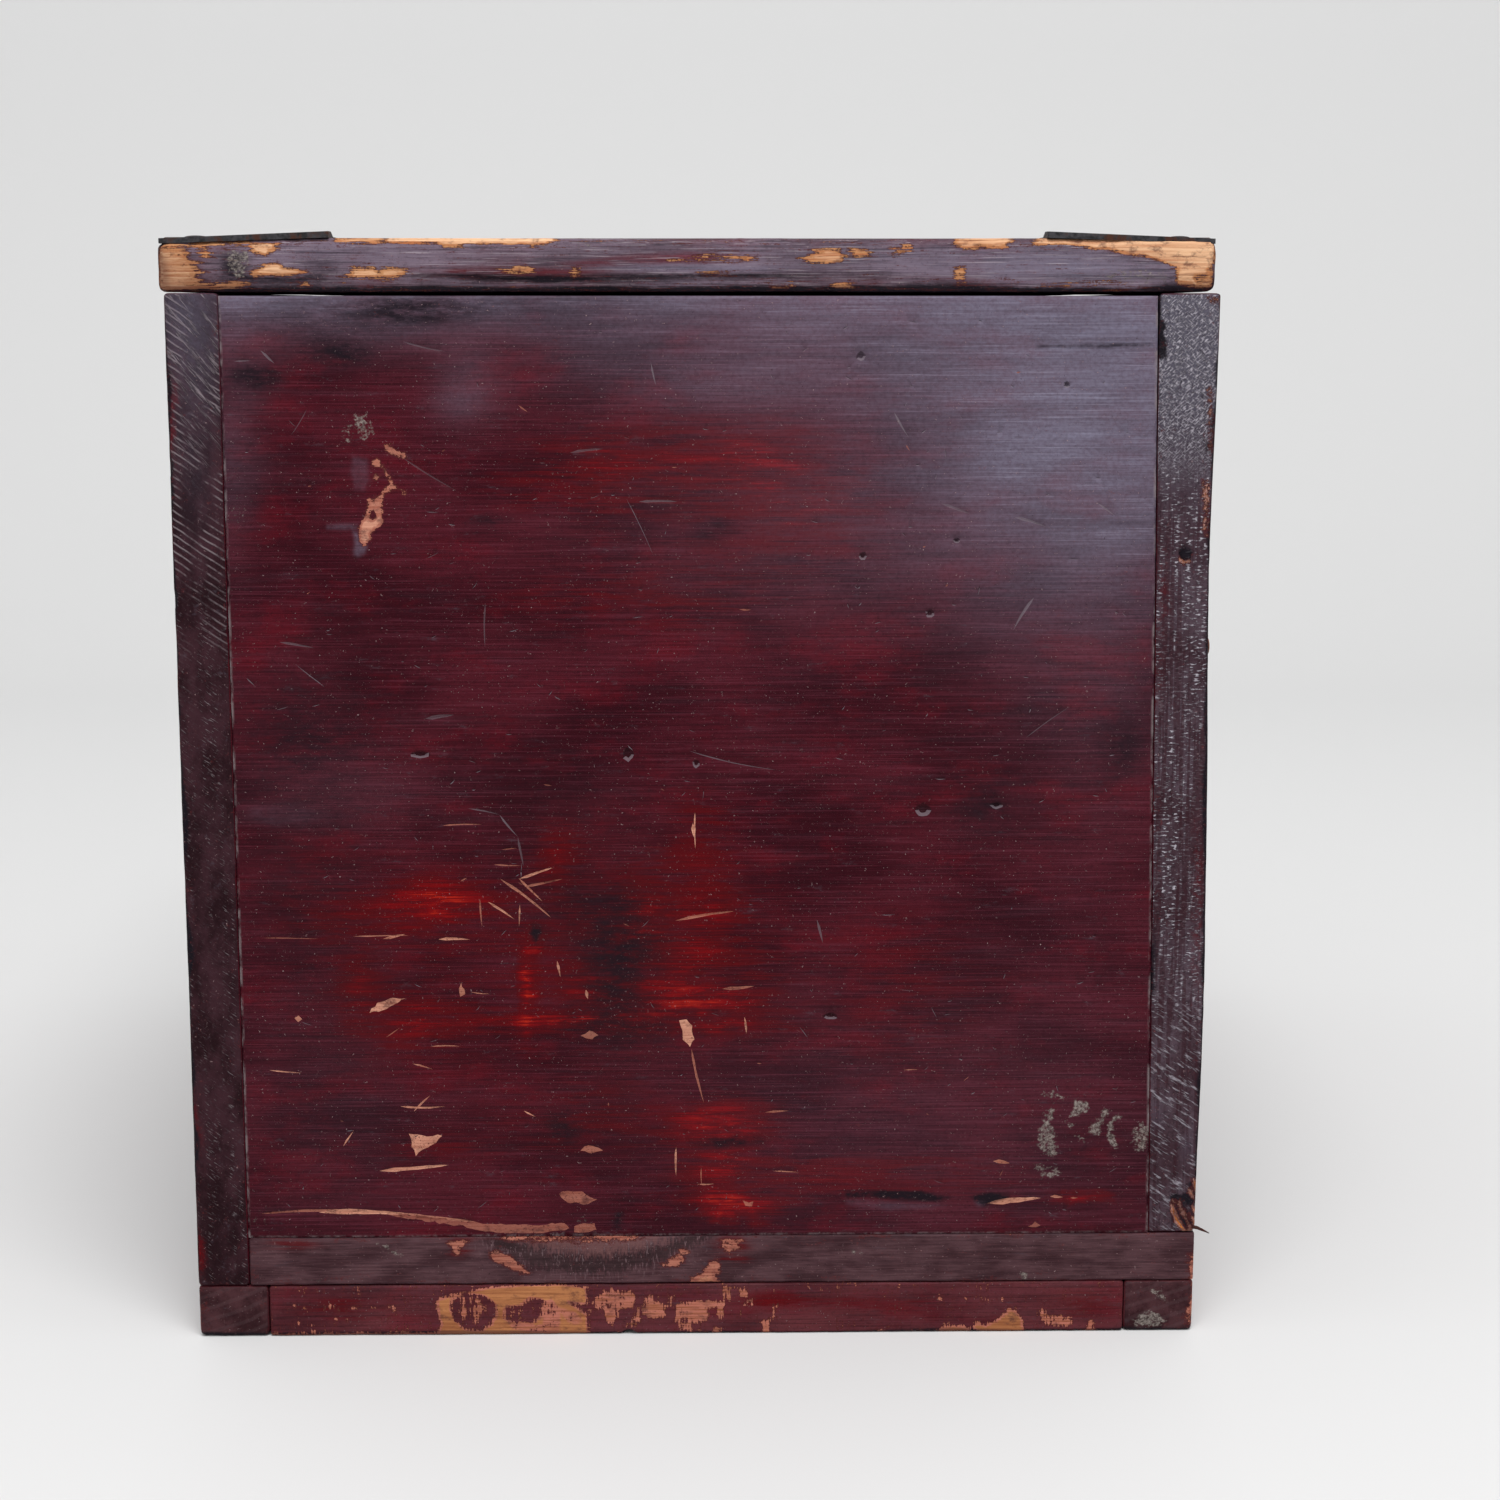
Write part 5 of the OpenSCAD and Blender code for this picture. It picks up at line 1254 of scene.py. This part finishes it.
# The rear leaves are let into the board, and only their back ends stand up, lower at the outer corner
LEAF_DROP, LEAF_LIFT, LEAF_SUNK = 1.5, 0.3, 1.0
BENT_END, BENT_RISE, BENT_BELOW = 5, 9, 293.5
KNUCKLE_RISE, KNUCKLE_END = 24, 14
for node in ("hinge_left_rear_leaf", "hinge_right_rear_leaf"):
    leaf_low, leaf_high = span(node)
    leaf = frame["nodes"][node].data.copy()
    form = bmesh.new()
    form.from_mesh(leaf)
    back, front = leaf_low[1], leaf_high[1]
    for y in (back + BENT_END, back + BENT_RISE, front - KNUCKLE_RISE, front - KNUCKLE_END):
        whole = form.verts[:] + form.edges[:] + form.faces[:]
        bmesh.ops.bisect_plane(form, geom=whole, plane_co=(0, y * MM, 0), plane_no=(0, 1, 0))
    middle = (leaf_low[0] + leaf_high[0]) / 2
    for v in form.verts:
        x, y, z = v.co / MM
        if y < back + BENT_END + 0.1:
            outer = (x - middle) * math.copysign(1, middle) > 0
            v.co.z += MM * (-LEAF_DROP if outer else LEAF_LIFT * (z > BENT_BELOW))
        elif back + BENT_RISE - 0.1 < y < front - KNUCKLE_RISE + 0.1:
            v.co.z -= MM * LEAF_SUNK
    form.to_mesh(leaf)
    form.free()
    piece = bpy.data.objects.new("bent_" + node, leaf)
    bpy.context.scene.collection.objects.link(piece)
    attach(piece, body_of[node])
    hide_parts(node)

# Pegs and nails.
# Whittled wooden pegs hold the walls to the boards between them, and flat iron nails hold the hinge leaves.
# Only their heads show, each a little different, so Geometry Nodes set one on every place.

PEG_HEAD, PEG_DOME = 2.1, 0.35
NAIL_HEAD, NAIL_DOME = 2.8, 0.5
LEAF_TOP = 294.4
UNEVENNESS = 0.12


def head_tree():
    """Sets a domed head on every point, facing the way that the point says, in slightly different sizes."""
    tree = bpy.data.node_groups.new("set_heads", "GeometryNodeTree")
    for name, kind in (("Places", "Geometry"), ("Head Radius", "Float"), ("Head Height", "Float"),
                       ("Unevenness", "Float"), ("Seed", "Int"), ("Finish", "Material")):
        tree.interface.new_socket(name, in_out="INPUT", socket_type="NodeSocket" + kind)
    tree.interface.new_socket("Heads", in_out="OUTPUT", socket_type="NodeSocketGeometry")
    given = add_node(tree, "NodeGroupInput").outputs
    radius, height, uneven = given["Head Radius"], given["Head Height"], given["Unevenness"]
    inputs = {"Segments": 14, "Rings": 8, "Radius": 1.0}
    ball = add_node(tree, "GeometryNodeMeshUVSphere", inputs).outputs["Mesh"]
    size = add_node(tree, "ShaderNodeCombineXYZ", {0: radius, 1: radius, 2: height}).outputs[0]
    head = add_node(tree, "GeometryNodeTransform", {"Geometry": ball, "Scale": size}).outputs[0]
    facing = add_node(tree, "GeometryNodeInputNamedAttribute", {"Name": "facing"}, data_type="FLOAT_VECTOR")
    inputs = {"Vector": facing.outputs[0]}
    turn = add_node(tree, "FunctionNodeAlignRotationToVector", inputs, axis="Z").outputs[0]
    dice = add_node(tree, "FunctionNodeRandomValue", {"Seed": given["Seed"]}, data_type="FLOAT")
    limits = [socket for socket in dice.inputs if socket.type == "VALUE"]
    tree.links.new(maths(tree, "SUBTRACT", 1.0, uneven), limits[0])
    tree.links.new(maths(tree, "ADD", 1.0, uneven), limits[1])
    share = next(socket for socket in dice.outputs if socket.type == "VALUE")
    points = add_node(tree, "GeometryNodeMeshToPoints", {"Mesh": given["Places"]}).outputs[0]
    inputs = {"Points": points, "Instance": head, "Rotation": turn, "Scale": share}
    heads = add_node(tree, "GeometryNodeInstanceOnPoints", inputs).outputs[0]
    solid = add_node(tree, "GeometryNodeRealizeInstances", {0: heads}).outputs[0]
    inputs = {"Geometry": solid, "Material": given["Finish"]}
    done = add_node(tree, "GeometryNodeSetMaterial", inputs).outputs[0]
    add_node(tree, "NodeGroupOutput", {0: done})
    return tree


def centres(node):
    """Middle of each separate solid in a node of the frame, in millimetres."""
    mesh = frame["nodes"][node].data
    key = [tuple(round(c / MM, 2) for c in v.co) for v in mesh.vertices]
    leader = {k: k for k in key}

    def top(k):
        while leader[k] != k:
            k = leader[k]
        return k

    for polygon in mesh.polygons:
        first, *others = [top(key[i]) for i in polygon.vertices]
        for other in others:
            leader[top(other)] = top(first)
    groups = {}
    for k in leader:
        groups.setdefault(top(k), []).append(k)
    return [[(min(c) + max(c)) / 2 for c in zip(*group)] for group in groups.values()]


set_heads = head_tree()


def put_heads(node, slot, axis, level, facing, radius, dome, finish, seed):
    """Heads over all pegs or nails of a node, at one level on one axis, as one plain mesh."""
    places = [[level if a == axis else c[a] for a in range(3)] for c in centres(node)]
    mesh = bpy.data.meshes.new("places_" + node)
    mesh.from_pydata([[c * MM for c in p] for p in places], [], [])
    layer = mesh.attributes.new("facing", "FLOAT_VECTOR", "POINT")
    layer.data.foreach_set("vector", list(facing) * len(places))
    piece = bpy.data.objects.new("heads_" + node, mesh)
    bpy.context.scene.collection.objects.link(piece)
    setter = piece.modifiers.new("set_heads", "NODES")
    setter.node_group = set_heads
    values = {"Head Radius": radius * MM, "Head Height": dome * MM, "Unevenness": UNEVENNESS, "Seed": seed,
              "Finish": finish}
    for item in set_heads.interface.items_tree:
        if item.name in values:
            setter[item.identifier] = values[item.name]
    heads = bpy.data.meshes.new_from_object(piece.evaluated_get(bpy.context.evaluated_depsgraph_get()))
    piece.modifiers.remove(setter)
    piece.data = heads
    heads.polygons.foreach_set("use_smooth", [True] * len(heads.polygons))
    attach(piece, body_of[node])
    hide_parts(node)


peg_wood = old_softwood("peg_wood", X_AXIS, "#8d5a41", "#4d2b20")
peg = (PEG_HEAD, PEG_DOME, peg_wood)
nail = (NAIL_HEAD, NAIL_DOME, iron)
put_heads("wall_pegs_left", "peg_wood", X_AXIS, X_LEFT, (-1, 0, 0), *peg, 1)
put_heads("wall_pegs_right", "peg_wood", X_AXIS, X_RIGHT, (1, 0, 0), *peg, 2)
put_heads("rear_leaf_nails", "sheet_iron", Z_AXIS, LEAF_TOP - LEAF_SUNK, (0, 0, 1), *nail, 3)
put_heads("lid_leaf_nails", "sheet_iron", Z_AXIS, LEAF_TOP, (0, 0, 1), *nail, 4)
for material_slot in frame["nodes"]["base_pegs"].material_slots:
    material_slot.material = peg_wood

# Floor, light and camera.
# A pale studio floor that curves up into the backdrop, one large soft lamp and an even sky.

backdrop, _, shader = new_finish("studio_white")
shader.inputs["Base Color"].default_value = (0.8, 0.8, 0.8, 1)
shader.inputs["Roughness"].default_value = 0.9
FLOOR_NEAR, FLOOR_FAR, FLOOR_HALF, WALL_TOP, SWEEP = -3000, 1500, 3000, 2800, 500
SWEEP_STEPS = 16
bends = [math.pi / 2 * i / SWEEP_STEPS for i in range(SWEEP_STEPS + 1)]
sweep = [(FLOOR_FAR - SWEEP + SWEEP * math.sin(a), SWEEP - SWEEP * math.cos(a)) for a in bends]
profile = [(FLOOR_NEAR, 0)] + sweep + [(FLOOR_FAR, WALL_TOP)]
mesh = bpy.data.meshes.new("studio")
mesh.from_pydata([(x * MM, y * MM, z * MM) for y, z in profile for x in (-FLOOR_HALF, FLOOR_HALF)], [],
                 [(2 * i, 2 * i + 1, 2 * i + 3, 2 * i + 2) for i in range(len(profile) - 1)])
mesh.polygons.foreach_set("use_smooth", [True] * len(mesh.polygons))
mesh.materials.append(backdrop)
studio = bpy.data.objects.new("studio", mesh)
bpy.context.scene.collection.objects.link(studio)

SKY_STRENGTH = 0.62
sky = bpy.data.worlds.new("studio_sky")
sky.use_nodes = True
sky_light = sky.node_tree.nodes["Background"]
sky_light.inputs["Color"].default_value = (1, 1, 1, 1)
sky_light.inputs["Strength"].default_value = SKY_STRENGTH
bpy.context.scene.world = sky

LAMP_PLACE, LAMP_AIM = Vector((120, -1100, 2100)), Vector((0, -150, 120))
LAMP_SIZE, LAMP_WATTS = 1300, 33
lamp = bpy.data.lights.new("window_lamp", "AREA")
lamp.shape = "DISK"
lamp.size = LAMP_SIZE * MM
lamp.energy = LAMP_WATTS
holder = bpy.data.objects.new("window_lamp", lamp)
holder.location = LAMP_PLACE * MM
holder.rotation_euler = (LAMP_AIM - LAMP_PLACE).to_track_quat("-Z", "Y").to_euler()
bpy.context.scene.collection.objects.link(holder)

CAMERA_PLACE = (2.5, -883.4, 276)
CAMERA_TILT, CAMERA_TURN = 80.522, -0.98
CAMERA_LENS, FILM_WIDTH = 63.86, 36
lens = bpy.data.cameras.new("camera")
lens.lens = CAMERA_LENS
lens.sensor_width = FILM_WIDTH
camera = bpy.data.objects.new("camera", lens)
camera.location = Vector(CAMERA_PLACE) * MM
camera.rotation_euler = (math.radians(CAMERA_TILT), 0, math.radians(CAMERA_TURN))
bpy.context.scene.collection.objects.link(camera)
bpy.context.scene.camera = camera
bpy.context.scene.view_settings.view_transform = "Standard"
